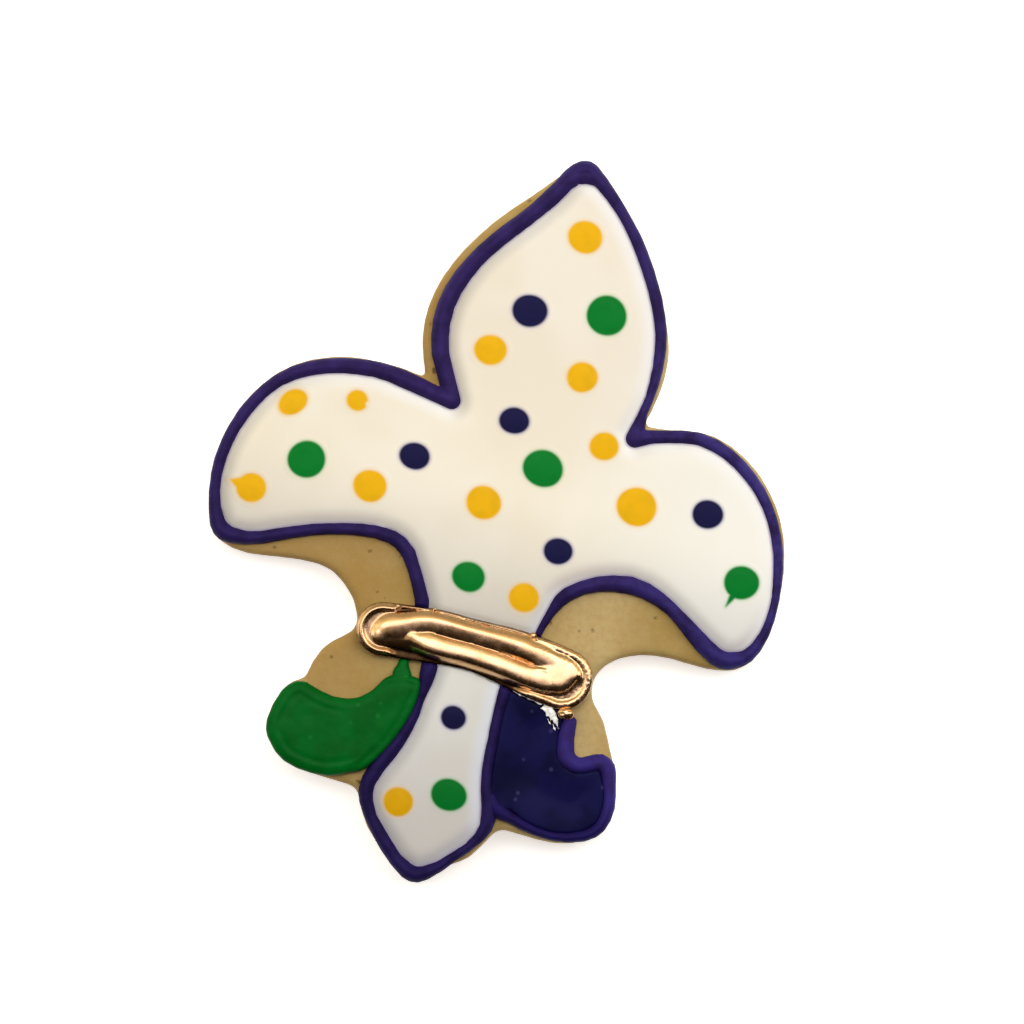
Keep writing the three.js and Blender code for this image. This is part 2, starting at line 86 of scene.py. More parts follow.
PURPLE_DOTS = [
    (-2.85, 29, 4.8, 4.25, 0), (-1.3, 13.9, 4.05, 3.5, 0), (-13.35, 5.9, 4.05, 3.6, 0),
    (27.5, 7.85, 4.1, 3.85, 0), (8.85, -2, 3.85, 3.5, 0), (0.45, -27.55, 3.35, 3.15, 0),
]
# Where a dot was drawn out to a point, in millimetres: root x, root y, tip x, tip y, width at the root
DOT_DRAGS = [(-34, -3.7, -37.1, -3.3, 3.8), (33.75, -1.5, 32.95, -3.75, 1.15)]
# A nick in the edge of a dot, in millimetres: x, y, radius
DOT_NICK = (-21.15, 11.25, 0.45)

# Where the start of the right curl's line was dragged to join the tail's line, then the join's upper side,
# in millimetres: x, y, to x, to y, reach
CURL_DRAGS = [(9.6, -37.7, 8, -38, 3.2), (8.2, -37.2, 7.9, -36.1, 2.2), (9.8, -37.5, 9.3, -36.8, 2.2)]
# Where the dark flood's corner beside that join runs to, as the drags above
FLOOD_DRAG = (9, -36.9, 8.4, -38.1, 2.6)
# Where a line is thicker, in millimetres: x, y, reach, how much
LINE_SWELLS = [(-4.4, -21.7, 3, 0.2), (-0.7, 47.6, 1.4, 0.35), (24.5, -4, 4.5, 0.08), (29.8, -7.8, 5, 0.22)]

# Middle line of the gold band, in millimetres: x, y, width
BAND_AXIS = [
    (-11.8, -18.1, 7.4), (-5, -17.4, 7.5), (0.5, -17.25, 7.1),
    (5.5, -17.6, 7.9), (10, -18.25, 8.5), (13.6, -18.8, 8.4),
]
# Bead at the band's lower edge, in millimetres: x, y, radius
BAND_BEAD = (15.25, -23.3, 0.85)
# Crests of the band's two long rolls, in millimetres: x, y, half widths above and below, height
UPPER_ROLL = [
    (-11.9, -18.7, 1.4, 1.6, 2.2), (-11.2, -17.8, 1.8, 2.4, 2.35), (-9.6, -16.95, 1.9, 3.1, 2.45),
    (-7, -15.85, 1.55, 3, 2.5), (-5.2, -15.45, 1.4, 2.8, 2.5), (-2.5, -15.42, 1.3, 2.6, 2.5),
    (0.5, -15.5, 1.3, 2.8, 2.5), (4.5, -15.65, 1.5, 2.5, 2.5), (8, -16.15, 1.95, 2, 2.55),
    (10.5, -16.8, 2.05, 1.5, 2.55), (13, -17.9, 2, 2, 2.5),
]
LOWER_ROLL = [
    (-7.6, -18.05, 1.4, 1.8, 2.5), (-6.4, -18.45, 1.75, 1.65, 2.65), (-5, -18.85, 1.9, 1.5, 2.8),
    (-3, -19.05, 1.95, 1.4, 2.9), (0.5, -19, 1.85, 1.45, 2.95), (4.5, -19.35, 1.95, 1.45, 2.95),
    (8.5, -19.95, 2, 1.4, 2.9), (11.5, -20.15, 2.4, 1.25, 2.8), (13.1, -19.4, 2.1, 1.5, 2.6),
]
# Crest of the broad cushion under them at the left end, as the rolls
CUSHION = [(-11.4, -18.4, 2, 1.9, 2.1), (-9, -18, 2.4, 2.2, 2.25), (-6, -17.8, 2.4, 2.3, 2.3)]
# Flat pillow at the right end, in millimetres: x, y, radius, height
PILLOW = (12.8, -18.1, 2.9, 2.6)
# Specks of leaf that stand out of the band's edge, in millimetres: x, y, radius
BAND_SPECKS = [(-10.5, -14.6, 0.42), (8.3, -13.95, 0.42), (-5.6, -13.8, 0.3), (8.9, -14.4, 0.3)]
# Edges of the loose shreds of leaf beside the bead, in millimetres: x, y
LEAF_SHREDS = [
    [(12.2, -22.6), (13.2, -22.9), (13.9, -23.6), (14.5, -24.7), (14.85, -25.6), (14.2, -25), (13.6, -24.5),
     (13.5, -24.9), (13.1, -24.2), (12.75, -24.3), (12.5, -23.7), (11.7, -23.4), (12, -23)],
    [(12.9, -24.5), (13.2, -24.6), (13.7, -25.3), (13.3, -25.2)],
    [(13.9, -25.1), (14.3, -25.5), (14.5, -26), (14.05, -25.7)],
    [(7.2, -21.8), (9.4, -22.3), (11.2, -22.5), (12.3, -22.5), (11.5, -22.95), (9.6, -22.6), (8, -22.25)],
]
# Height of the slab that the band is raised from, above the dough, and how flat its rolls are on top
BAND_SLAB = 0.7 * MM
ROUNDNESS = 2.3

# How painted light and shade change colours along the cookie: share of red, green and blue left, from y and
# to y in millimetres
WHITE_PAINTED_SHADING = [
    ((0.95, 0.945, 0.965), 0, 28), ((0.73, 0.74, 0.8), 6, -15),
    ((1.1, 1.16, 1.22), -15.5, -19.5), ((0.82, 0.8, 0.83), -21, -44),
]
DOT_PAINTED_SHADING = ((0.8, 0.8, 0.8), 2, -34)
LINE_PAINTED_SHADING = ((0.54, 0.56, 0.7), 8, -26)
CURL_LINE_PAINTED_SHADING = ((0.36, 0.34, 0.46), -32, -38.5)
# Dark specks in the dough: spacing and size in millimetres, share left out, strength
DOUGH_SPECKS = [(4, 0.6, 0.45, 0.85), (1.9, 0.34, 0.6, 0.55)]


def paint(red, green, blue):
    """Linear colour of a shade read off a screen, each channel 0 to 255."""
    shares = [value / 255 for value in (red, green, blue)]
    return tuple(s / 12.92 if s <= 0.04045 else ((s + 0.055) / 1.055) ** 2.4 for s in shares)


def length(name, description, millimetres):
    """A property for a size, given in millimetres and kept in metres."""
    return bpy.props.FloatProperty(
        name=name, description=description, default=millimetres * MM, min=0, unit="LENGTH", precision=5,
    )


def colour(name, description, default):
    """A property for a colour."""
    return bpy.props.FloatVectorProperty(
        name=name, description=description, default=default, min=0, max=1, size=3, subtype="COLOR",
    )


def share(name, description, default):
    """A property for a value between 0 and 1."""
    return bpy.props.FloatProperty(
        name=name, description=description, default=default, min=0, max=1, subtype="FACTOR",
    )


SINK = length("Sink", "How far the piece settled into the dough", 0.25)


class DoughSettings(bpy.types.PropertyGroup):
    """Sizes and colours of the baked dough."""

    grain: length("Grain", "Size of the mesh's faces", 0.42)
    wave_size: length("Wave size", "Length of the low waves in the rolled dough", 9)
    wave_height: length("Wave height", "Height of the low waves", 0.22)
    crumb_size: length("Crumb size", "Size of the crumb's bumps", 1.3)
    crumb_height: length("Crumb height", "Height of the crumb's bumps", 0.12)
    pale: colour("Pale", "Colour of the least baked dough", paint(178, 153, 97))
    palest: colour("Palest", "Colour of the dough to the right of the waist", paint(214, 190, 142))
    warm: colour("Warm", "Colour of the patches that took more heat", paint(168, 139, 76))
    browned: colour("Browned", "Colour of the underside, crumb and left of the waist", paint(160, 118, 58))
    speck: colour("Speck", "Colour of the dark specks", paint(84, 64, 30))
    roughness: share("Roughness", "How matt the dough is", 0.78)


class WhiteSettings(bpy.types.PropertyGroup):
    """Sizes and colours of the white royal icing."""

    grain: length("Grain", "Size of the mesh's faces", 0.3)
    depth: length("Depth", "Height of the flooded icing above the dough", 1.2)
    spread: length("Spread", "How far the icing runs in against its lines", 0.38)
    sink: SINK
    fall: length("Fall", "How far the surface drops towards its edge", 0.45)
    reach: length("Reach", "How far from the edge the surface starts to drop", 1.1)
    cream: colour("Cream", "Colour of the icing in the middle of a flood", paint(247, 240, 226))
    shade: colour("Shade", "Colour of the faint duller clouds in it", paint(243, 234, 217))
    # Painted light: the icing turns cooler and whiter towards the right
    cool: colour("Cool", "Colour of the icing towards the right", paint(247, 245, 239))
    # Painted highlight: the icing is whiter near the lines above and right of it
    white: colour("White", "Colour of the icing near the lines above and right of it", paint(250, 249, 248))
    # Painted shade: the icing is greyer towards the lines below it
    painted_shade_grey: colour("Grey", "Colour of the icing towards the lines below it", paint(212, 204, 199))
    stain: colour("Stain", "Colour that the purple lines bleed into its edge", paint(182, 170, 200))
    roughness: share("Roughness", "How matt the dried icing is", 0.42)


class LineSettings(bpy.types.PropertyGroup):
    """Sizes and colours of the piped purple lines."""

    grain: length("Grain", "Size of the mesh's faces", 0.18)
    sink: SINK
    swell: length("Swell", "How far the lines spread as they dried", 0.13)
    waver_size: length("Waver size", "Length of the waver in the lines", 5)
    waver_height: length("Waver height", "How far the lines swell and shrink", 0.16)
    purple: colour("Purple", "Colour of the lines", paint(50, 36, 95))
    deep: colour("Deep purple", "Colour of the darker stretches", paint(40, 28, 76))
    # Painted light: the colour the lines brighten to towards the right
    bright: colour("Bright purple", "Colour of the lines towards the right", paint(59, 49, 120))
    violet: colour("Violet", "Colour of the right curl's line", paint(52, 41, 120))
    roughness: share("Roughness", "How matt the dried icing is", 0.5)


class CurlSettings(bpy.types.PropertyGroup):
    """Sizes and colours of the two filled curls at the foot."""

    grain: length("Grain", "Size of the mesh's faces", 0.2)
    spread: length("Spread", "How far the icing runs in against its lines", 0.34)
    sink: SINK
    furrow_inset: length("Furrow inset", "From the green curl's edge to the seam of its outline", 1.7)
    furrow_width: length("Furrow width", "Half width of that seam", 0.4)
    furrow_depth: length("Furrow depth", "Depth of that seam", 0.1)
    dip: length("Dip", "How far the dark flood sank in its middle", 0.35)
    green: colour("Green", "Colour of the green curl", paint(0, 96, 29))
    deep_green: colour("Deep green", "Colour of its darker clouds", paint(0, 85, 22))
    navy: colour("Dark purple", "Colour of the dark flood", paint(17, 16, 66))
    deep_navy: colour("Deepest purple", "Colour of its darker clouds", paint(8, 7, 46))
    roughness: share("Roughness", "How matt the dried icing is", 0.42)


class DotSettings(bpy.types.PropertyGroup):
    """Sizes and colours of the dots."""

    grain: length("Grain", "Size of the mesh's faces", 0.16)
    rise: length("Rise", "Height of a dot's middle above the white", 0.08)
    blur: length("Blur", "Half width of a dot's soft edge", 0.2)
    spread: length("Spread", "How far the dark colours run past a dot's edge", 0.06)
    halo: length("Halo", "How far a trace of the colour bleeds into the white", 0.6)
    clear: length("Clear", "Height of the bled skirt above the white", 0.015)
    thickness: length("Thickness", "Depth of a dot", 0.3)
    wobble: share("Wobble", "How far a dot's outline is from a true oval", 0.014)
    yellow: colour("Yellow", "Colour of the yellow dots", paint(238, 181, 14))
    green: colour("Green", "Colour of the green dots", paint(0, 122, 42))
    purple: colour("Purple", "Colour of the purple dots", paint(23, 21, 65))


class BandSettings(bpy.types.PropertyGroup):
    """Sizes and colours of the gold band."""

    grain: length("Grain", "Size of the mesh's faces", 0.11)
    rim_height: length("Rim height", "Height of the rim above the dough", 2.05)
    valley_height: length("Valley height", "Height of the valleys between the rim and the rolls", 1.4)
    dimple_size: length("Dimple size", "Size of the dimples in the hammered end", 0.34)
    dimple_depth: length("Dimple depth", "Depth of those dimples", 0.065)
    sink: SINK
    gold: colour("Gold", "Colour of the gold", paint(231, 190, 145))
    old_gold: colour("Old gold", "Colour of the duller clouds in it", paint(222, 177, 128))
    # Painted shade: the colour that darkens the band's foot
    painted_foot_shade: colour("Painted foot shade", "Colour of the band's dark foot", paint(70, 45, 20))
    roughness: share("Roughness", "How matt the gold is", 0.24)


class StudioSettings(bpy.types.PropertyGroup):
    """The floor, the lights and the camera."""

    floor: colour("Floor", "Colour of the floor", (0.93, 0.93, 0.93))
    floor_size: length("Floor size", "Side of the square floor", 12000)
    lens: bpy.props.FloatProperty(
        name="Lens", description="Focal length in millimetres", default=200, min=10, subtype="NONE",
    )
    view_width: length("View width", "Width of the picture at the icing's height", 140.15)
    view_height: length("View height", "Height of the plane that the picture is framed at", 8)
    view_x: length("View X", "Middle of the picture across the cookie", 1.43)
    view_y: length("View Y", "Middle of the picture along the cookie", 1.7)
    turn: bpy.props.FloatProperty(
        name="Turn", description="Turn of the camera about the upright axis",
        default=math.radians(14), subtype="ANGLE",
    )


# Selecting, copying and modifiers

def make_active(piece):
    """Select one object alone and make it active."""
    if bpy.context.mode != "OBJECT":
        bpy.ops.object.mode_set(mode="OBJECT")
    bpy.ops.object.select_all(action="DESELECT")
    piece.select_set(True)
    bpy.context.view_layer.objects.active = piece


def added(operator, **settings):
    """The object that an operator adds, with everything else deselected first."""
    bpy.ops.object.select_all(action="DESELECT")
    operator(**settings)
    return bpy.context.active_object


def copy_of_node(node, name):
    """A copy of a plain solid with its loose triangles merged, as an object of its own."""
    make_active(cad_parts[node])
    bpy.ops.object.duplicate()
    piece = bpy.context.active_object
    piece.parent = None
    piece.name = name
    piece.data.name = name
    piece.data.materials.clear()
    for key in [key for key in piece.keys() if key.startswith("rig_")]:
        del piece[key]
    bpy.ops.object.mode_set(mode="EDIT")
    bpy.ops.mesh.select_all(action="SELECT")
    bpy.ops.mesh.remove_doubles(threshold=0.001 * MM)
    bpy.ops.object.mode_set(mode="OBJECT")
    return piece


def apply_modifier(piece, kind, **settings):
    """Add a modifier, set it and apply it."""
    make_active(piece)
    bpy.ops.object.modifier_add(type=kind)
    modifier = piece.modifiers[-1]
    for name, value in settings.items():
        setattr(modifier, name, value)
    bpy.ops.object.modifier_apply(modifier=modifier.name)


def remesh(piece, grain):
    """Cover a piece with even faces of one size."""
    apply_modifier(piece, "REMESH", mode="VOXEL", voxel_size=grain, use_smooth_shade=True)


def soften(piece, passes):
    """Round off edges and steps."""
    apply_modifier(piece, "SMOOTH", factor=0.5, iterations=passes)


def displace(piece, weights, **settings):
    """Move the surface, all over or by a weight for each vertex."""
    group_name = ""
    if weights is not None:
        group = piece.vertex_groups.new(name="weights")
        group_name = group.name
        least = 0.001
        for index in numpy.flatnonzero(weights > least):
            group.add([int(index)], float(weights[index]), "REPLACE")
    apply_modifier(piece, "DISPLACE", vertex_group=group_name, **settings)
    piece.vertex_groups.clear()


def roughen(piece, size, height, weights=None):
    """Raise and lower the surface in clouds of one size, all over or by weight."""
    texture = bpy.data.textures.new("clouds", "CLOUDS")
    texture.noise_scale = size
    texture.noise_depth = 2
    displace(piece, weights, texture=texture, texture_coords="LOCAL", strength=height)
    bpy.data.textures.remove(texture)


def push(piece, distance, weights):
    """Move the surface up, or down for a negative distance, by weight."""
    displace(piece, weights, direction="Z", mid_level=0, strength=distance)


def swell(piece, distance, weights=None):
    """Grow the surface outwards, all over or by weight."""
    displace(piece, weights, mid_level=0, strength=distance)


def select_vertices(piece, chosen):
    """Start editing a piece with only the chosen vertices selected."""
    make_active(piece)
    bpy.ops.object.mode_set(mode="EDIT")
    bpy.ops.mesh.select_mode(type="VERT")
    bpy.ops.mesh.select_all(action="DESELECT")
    bpy.ops.object.mode_set(mode="OBJECT")
    piece.data.vertices.foreach_set("select", chosen)
    bpy.ops.object.mode_set(mode="EDIT")


def level(piece, chosen, height):
    """Press the chosen vertices flat at one height."""
    select_vertices(piece, chosen)
    bpy.ops.transform.resize(value=(1, 1, 0), center_override=(0, 0, height))
    bpy.ops.object.mode_set(mode="OBJECT")


def draw_out(piece, drag):
    """Pull the part of a piece at one place over to another, with what lies within reach following."""
    x, y, to_x, to_y, reach = drag
    core = 0.8 * MM
    spots = places(piece)
    follow = 1 - ease(plan_distance(spots, x, y), core, reach * MM)
    shift = numpy.array((to_x - x, to_y - y)) * MM
    spots[:, :2] += follow[:, None] * shift
    move_to(piece, spots)


# Measuring a mesh

def rows_of(collection, name):
    """A vector of each member of a collection, one row each."""
    rows = numpy.empty(len(collection) * 3, numpy.float32)
    collection.foreach_get(name, rows)
    return rows.reshape(-1, 3).astype(float)


def places(piece):
    """Coordinates of all vertices, one row each."""
    return rows_of(piece.data.vertices, "co")


def facings(piece):
    """How far each vertex faces up: 1 is straight up, 0 sideways, -1 down."""
    return rows_of(piece.data.vertex_normals, "vector")[:, 2]


def move_to(piece, spots):
    """Put all vertices at these coordinates."""
    piece.data.vertices.foreach_set("co", spots.astype(numpy.float32).ravel())
    piece.data.update()


def plan_distance(spots, x, y):
    """Distance in plan from each spot to a place given in millimetres."""
    return numpy.linalg.norm(spots[:, :2] - numpy.array((x, y)) * MM, axis=1)


def nearest_points(points, spots):
    """For each spot, which of the points lies nearest in plan, and how far away."""
    tree = KDTree(len(points))
    for index, (x, y) in enumerate(points[:, :2]):
        tree.insert((x, y, 0), index)
    tree.balance()
    found = [tree.find((x, y, 0)) for x, y in spots[:, :2]]
    return numpy.array([index for _, index, _ in found]), numpy.array([far for _, _, far in found])


def wall_distance(piece):
    """Distance in plan from each vertex to the nearest upright wall of its own piece."""
    spots = places(piece)
    walls = numpy.abs(facings(piece)) < ON_WALL
    return nearest_points(spots[walls], spots)[1]


def keep_line_values(piece, grain):
    """Keep how far the nearest purple line is from each vertex, and how squarely it lies below and left, for
    the stain and the painted light and shade beside the lines.
    """
    points = numpy.vstack([places(bpy.data.objects[name]) for name in ("petal_line", "tail_line")])
    spots = places(piece)
    nearest, far = nearest_points(points, spots)
    ways = points[nearest, :2] - spots[:, :2]
    ways /= numpy.maximum(far, NO_LENGTH)[:, None]
    turn = bpy.context.scene.cookie_studio.turn
    below = ways @ numpy.array((math.sin(turn), -math.cos(turn)))
    left = ways @ numpy.array((-math.cos(turn), -math.sin(turn)))
    # Enough passes to even the directions out over about a millimetre
    passes = int(2 * (MM / grain) ** 2)
    keep_value(piece, "line_distance", evened(piece, far, passes=2))
    keep_value(piece, "line_below", evened(piece, below, passes))
    keep_value(piece, "line_left", evened(piece, left, passes))


def evened(piece, values, passes):
    """The values of a piece's vertices, each averaged with its neighbours' a number of times."""
    ends = numpy.empty(len(piece.data.edges) * 2, numpy.int32)
    piece.data.edges.foreach_get("vertices", ends)
    first = ends[0::2]
    second = ends[1::2]
    neighbours = numpy.maximum(numpy.bincount(ends, minlength=len(values)), 1)
    for _ in range(passes):
        total = numpy.bincount(first, values[second], len(values))
        total += numpy.bincount(second, values[first], len(values))
        values = (values + total / neighbours) / 2
    return values


def keep_value(piece, name, values):
    """Keep one number for each vertex, for a material to read."""
    attribute = piece.data.attributes.new(name, "FLOAT", "POINT")
    attribute.data.foreach_set("value", values.astype(numpy.float32))


def smooth_curve(knots, steps):
    """Rows on a smooth curve through the knots, in metres, with a number of steps between two knots."""
    rows = numpy.array(knots) * MM
    padded = numpy.vstack([2 * rows[0] - rows[1], rows, 2 * rows[-1] - rows[-2]])
    points = []
    for i in range(1, len(rows)):
        p0, p1, p2, p3 = padded[i - 1:i + 3]
        for t in numpy.arange(steps) / steps:
            bend = (2 * p0 - 5 * p1 + 4 * p2 - p3) * t * t + (3 * p1 - p0 - 3 * p2 + p3) * t ** 3
            points.append((2 * p1 + (p2 - p0) * t + bend) / 2)
    points.append(rows[-1])
    return numpy.array(points)


def ease(values, start, end):
    """0 at the start, 1 at the end and smooth between."""
    t = numpy.clip((values - start) / (end - start), 0, 1)
    return t * t * (3 - 2 * t)


# Where the band lies

def band_inset(spots):
    """How far each spot lies inside the band's outline, and the way from it to the band's middle line."""
    axis = smooth_curve(BAND_AXIS, steps=40)
    nearest, _ = nearest_points(axis, spots)
    towards = axis[nearest, :2] - spots[:, :2]
    off_axis = numpy.linalg.norm(towards, axis=1)
    inset = axis[nearest, 2] / 2 - off_axis
    return inset, towards / numpy.maximum(off_axis, NO_LENGTH)[:, None]


def tuck_under_band(piece):
    """Draw icing that stops short of the band or its bead in under their edges, and press it down there."""
    reach = 0.9 * MM
    draw = 1.0 * MM
    free_height = 2.2 * MM
    pressed_by = 1.8 * MM
    spots = places(piece)
    inset, towards = band_inset(spots)
    pull = draw * numpy.clip(1 + inset / reach, 0, 1)
    spots[:, :2] += towards * pull[:, None]
    x, y, radius = BAND_BEAD
    bead = numpy.array((x, y)) * MM - spots[:, :2]
    off_bead = plan_distance(spots, x, y)
    pull = draw * numpy.clip(1 - (off_bead - radius * MM) / reach, 0, 1)
    share_drawn = numpy.minimum(pull, off_bead) / numpy.maximum(off_bead, NO_LENGTH)
    spots[:, :2] += bead * share_drawn[:, None]
    inset, _ = band_inset(spots)
    ceiling = DOUGH_TOP + free_height - pressed_by * ease(inset, -0.35 * MM, 0.15 * MM)
    spots[:, 2] = numpy.minimum(spots[:, 2], ceiling)
    move_to(piece, spots)


# Materials

def new_material(name, inputs_at, *details, **named):
    """A material with the shader inputs that a function gives for the place of a point on the object."""
    material = bpy.data.materials.new(name)
    material.use_nodes = True
    shader = material.node_tree.nodes["Principled BSDF"]
    place = node(shader, "ShaderNodeTexCoord", {}).outputs["Object"]
    fill_inputs(shader, inputs_at(place, *details, **named))
    return material


def fill_inputs(made, values):
    """Link inputs of a node, by name or number, to other sockets, or set their values."""
    for key, value in values.items():
        socket = made.inputs[key]
        if isinstance(value, bpy.types.NodeSocket):
            socket.id_data.links.new(value, socket)
        elif socket.type == "RGBA":
            socket.default_value = (*value, 1)
        else:
            socket.default_value = value


def node(near, kind, values, **options):
    """A node in the same tree as another node or socket, with its options set and its inputs filled."""
    made = near.id_data.nodes.new(kind)
    for name, value in options.items():
        setattr(made, name, value)
    fill_inputs(made, values)
    return made


def coordinate(place, axis):
    """One coordinate of a place."""
    return node(place, "ShaderNodeSeparateXYZ", {"Vector": place}).outputs[axis]


def clouds(place, size, detail=2, roughness=0.5, output="Fac"):
    """Noise with features of about one size."""
    values = {"Vector": place, "Scale": 1 / size, "Detail": detail, "Roughness": roughness}
    return node(place, "ShaderNodeTexNoise", values).outputs[output]


def between(value, low, high, start=0, end=1):
    """A value brought smoothly from one range into another."""
    values = {"Value": value, "From Min": low, "From Max": high, "To Min": start, "To Max": end}
    return node(value, "ShaderNodeMapRange", values, interpolation_type="SMOOTHSTEP").outputs["Result"]


def patches(place, size, low, high, detail=2, roughness=0.5):
    """A soft mask of clouds of about one size, clear where their noise is low and full where it is high."""
    return between(clouds(place, size, detail, roughness), low, high)


def blend(factor, first, second, way="MIX"):
    """A mix of two colours, or the first one multiplied by the second."""
    values = {0: factor, 6: first, 7: second}
    return node(factor, "ShaderNodeMix", values, data_type="RGBA", blend_type=way).outputs[2]


def product(first, second):
    """Two values multiplied."""
    return node(first, "ShaderNodeMath", {0: first, 1: second}, operation="MULTIPLY").outputs[0]


def kept_value(place, name):
    """A number that the mesh keeps for each vertex."""
    return node(place, "ShaderNodeAttribute", {}, attribute_name=name).outputs["Fac"]


def bump(height, strength, distance):
    """Small relief in the shading."""
    values = {"Height": height, "Strength": strength, "Distance": distance}
    return node(height, "ShaderNodeBump", values).outputs["Normal"]


def specks(place, spacing, size, thinning):
    """A mask of small round specks, about one in each cell, with a share of them left out."""
    core = 0.4
    softness = 0.02
    cells = node(place, "ShaderNodeTexVoronoi", {"Vector": place, "Scale": 1 / spacing})
    round_spot = between(cells.outputs["Distance"], size / spacing, core * size / spacing)
    chance = node(place, "ShaderNodeSeparateColor", {"Color": cells.outputs["Color"]}).outputs["Red"]
    return product(round_spot, between(chance, thinning, thinning + softness))


def shaken(place, size, amount):
    """Places shifted about at random, so that a pattern on them is less regular."""
    values = {0: clouds(place, size, output="Color"), 1: (amount, amount, amount), 2: place}
    return node(place, "ShaderNodeVectorMath", values, operation="MULTIPLY_ADD").outputs["Vector"]


def painted_shading_along(place, tone, change):
    """The same colour, brought to a share of itself between two places along the cookie: painted light and
    shade.
    """
    share_left, start, end = change
    return blend(between(coordinate(place, "Y"), start * MM, end * MM), tone, share_left, "MULTIPLY")


def baked_dough(place, look):
    """Pale baked dough: cloudy tan, browner low down, with a fine crumb and a few dark specks."""
    across = coordinate(place, "X")
    right_of_waist = product(between(across, 6 * MM, 15 * MM), between(across, 25 * MM, 17 * MM, 0, 0.5))
    left_of_waist = between(across, -6 * MM, -17 * MM, 0, 0.4)
    crumb = between(clouds(place, 0.9 * MM, detail=4, roughness=0.65), 0.35, 0.8, 0, 0.35)
    low_down = between(coordinate(place, "Z"), 5.5 * MM, 0.2 * MM, 0, 0.8)
    dust = between(clouds(place, 0.35 * MM, detail=2, roughness=0.6), 0.5, 0.75, 0, 0.3)
    tan = blend(patches(place, 11 * MM, 0.38, 0.66, detail=3), look.pale, look.warm)
    tan = blend(right_of_waist, tan, look.palest)
    for mask in (left_of_waist, crumb, low_down):
        tan = blend(mask, tan, look.browned)
    tan = blend(dust, tan, look.pale)
    ragged = shaken(place, size=0.4 * MM, amount=0.7 * MM)
    for spacing, size, thinning, strength in DOUGH_SPECKS:
        tan = blend(product(specks(ragged, spacing * MM, size * MM, thinning), strength), tan, look.speck)
    relief = clouds(place, 0.5 * MM, detail=4, roughness=0.7)
    return {
        "Base Color": tan, "Roughness": look.roughness, "Specular IOR Level": 0.25,
        "Normal": bump(relief, strength=0.35, distance=0.12 * MM),
    }


def white_colour(place, look):
    """Cream with duller clouds, and painted light and shade: cooler to the right, whiter near the lines,
    greyer above a line, darker right of one.
    """
    middle = blend(patches(place, 14 * MM, 0.35, 0.65), look.cream, look.shade)
    # Painted light: cooler and whiter towards the right
    middle = blend(between(coordinate(place, "X"), 2 * MM, 32 * MM), middle, look.cool)
    distance = kept_value(place, "line_distance")
    above_line = between(kept_value(place, "line_below"), 0.1, 0.9)
    right_of_line = between(kept_value(place, "line_left"), -0.4, 1)
    # Painted highlight by the lines above and right of the icing, painted shade by the lines below it
    edge = blend(above_line, look.white, look.painted_shade_grey)
    edge = blend(right_of_line, edge, middle)
    tone = blend(between(distance, 2.5 * MM, 0.2 * MM, 0, 0.9), middle, edge)
    # Painted shade just right of a line
    painted_shade_right_of_line = between(distance, 2.2 * MM, 0.1 * MM, 0, 0.33)
    tone = blend(product(right_of_line, painted_shade_right_of_line), tone, (0, 0, 0))
    # Painted light and shade along the cookie
    for change in WHITE_PAINTED_SHADING:
        tone = painted_shading_along(place, tone, change)
    return tone


def satin(place, tone, roughness):
    """Dried royal icing of a colour: satin, with a faint unevenness."""
    uneven = between(clouds(place, 3 * MM, detail=3), 0.3, 0.7, roughness - 0.05, roughness + 0.06)
    skin = clouds(place, 0.8 * MM, detail=3, roughness=0.6)
    return {
        "Base Color": tone, "Roughness": uneven, "Specular IOR Level": 0.045,
        "Normal": bump(skin, strength=0.12, distance=0.05 * MM),
    }


def white_icing(place, look):
    """White royal icing, stained a little where it meets the purple lines."""
    touching = between(kept_value(place, "line_distance"), 0.35 * MM, 0.05 * MM, 0, 0.7)
    return satin(place, blend(touching, white_colour(place, look), look.stain), look.roughness)


def dot_icing(place, tone, look, white, spread):
    """Coloured icing that bleeds into the white at its edge, the dark colours a little further."""
    deep = [0.93 * channel for channel in tone]
    # Painted shade: the dots darken towards the foot
    tinted = painted_shading_along(place, blend(patches(place, 2 * MM, 0.4, 0.75), tone, deep), DOT_PAINTED_SHADING)
    edge = kept_value(place, "dot_edge")
    # A dark colour is brighter where it bled out thin
    brightness = 0.5
    bled = [channel * max(1, brightness / max(tone)) for channel in tone]
    stained = blend(between(edge, look.halo, 0, 0, 0.3), white_colour(place, white), bled)
    body = between(edge, spread + look.blur, spread - look.blur)
    return satin(place, blend(body, stained, tinted), white.roughness)


def curl_icing(place, tone, deep, roughness, cloud_size, bubbles):
    """Coloured royal icing with darker clouds and a few pale bubbles."""
    tinted = blend(patches(place, cloud_size, 0.38, 0.64, detail=3), tone, deep)
    pale = [min(1, 3 * channel + 0.05) for channel in tone]
    spots = product(specks(place, spacing=2.4 * MM, size=0.42 * MM, thinning=0.3), bubbles)
    return satin(place, blend(spots, tinted, pale), roughness)


def line_icing(place, look):
    """Piped purple icing with darker stretches, with painted light towards the right and painted shade
    towards the foot.
    """
    # Painted light: brighter towards the right
    purple = blend(between(coordinate(place, "X"), 4 * MM, 36 * MM), look.purple, look.bright)
    tone = blend(patches(place, 3 * MM, 0.36, 0.68, detail=4, roughness=0.6), purple, look.deep)
    return satin(place, painted_shading_along(place, tone, LINE_PAINTED_SHADING), look.roughness)


def curl_line_icing(place, look):
    """Piped purple icing round the right curl: bright and bluish, with painted shade along the bottom."""
    tone = blend(patches(place, 3 * MM, 0.4, 0.7, detail=4, roughness=0.6), look.violet, look.purple)
    return satin(place, painted_shading_along(place, tone, CURL_LINE_PAINTED_SHADING), look.roughness)


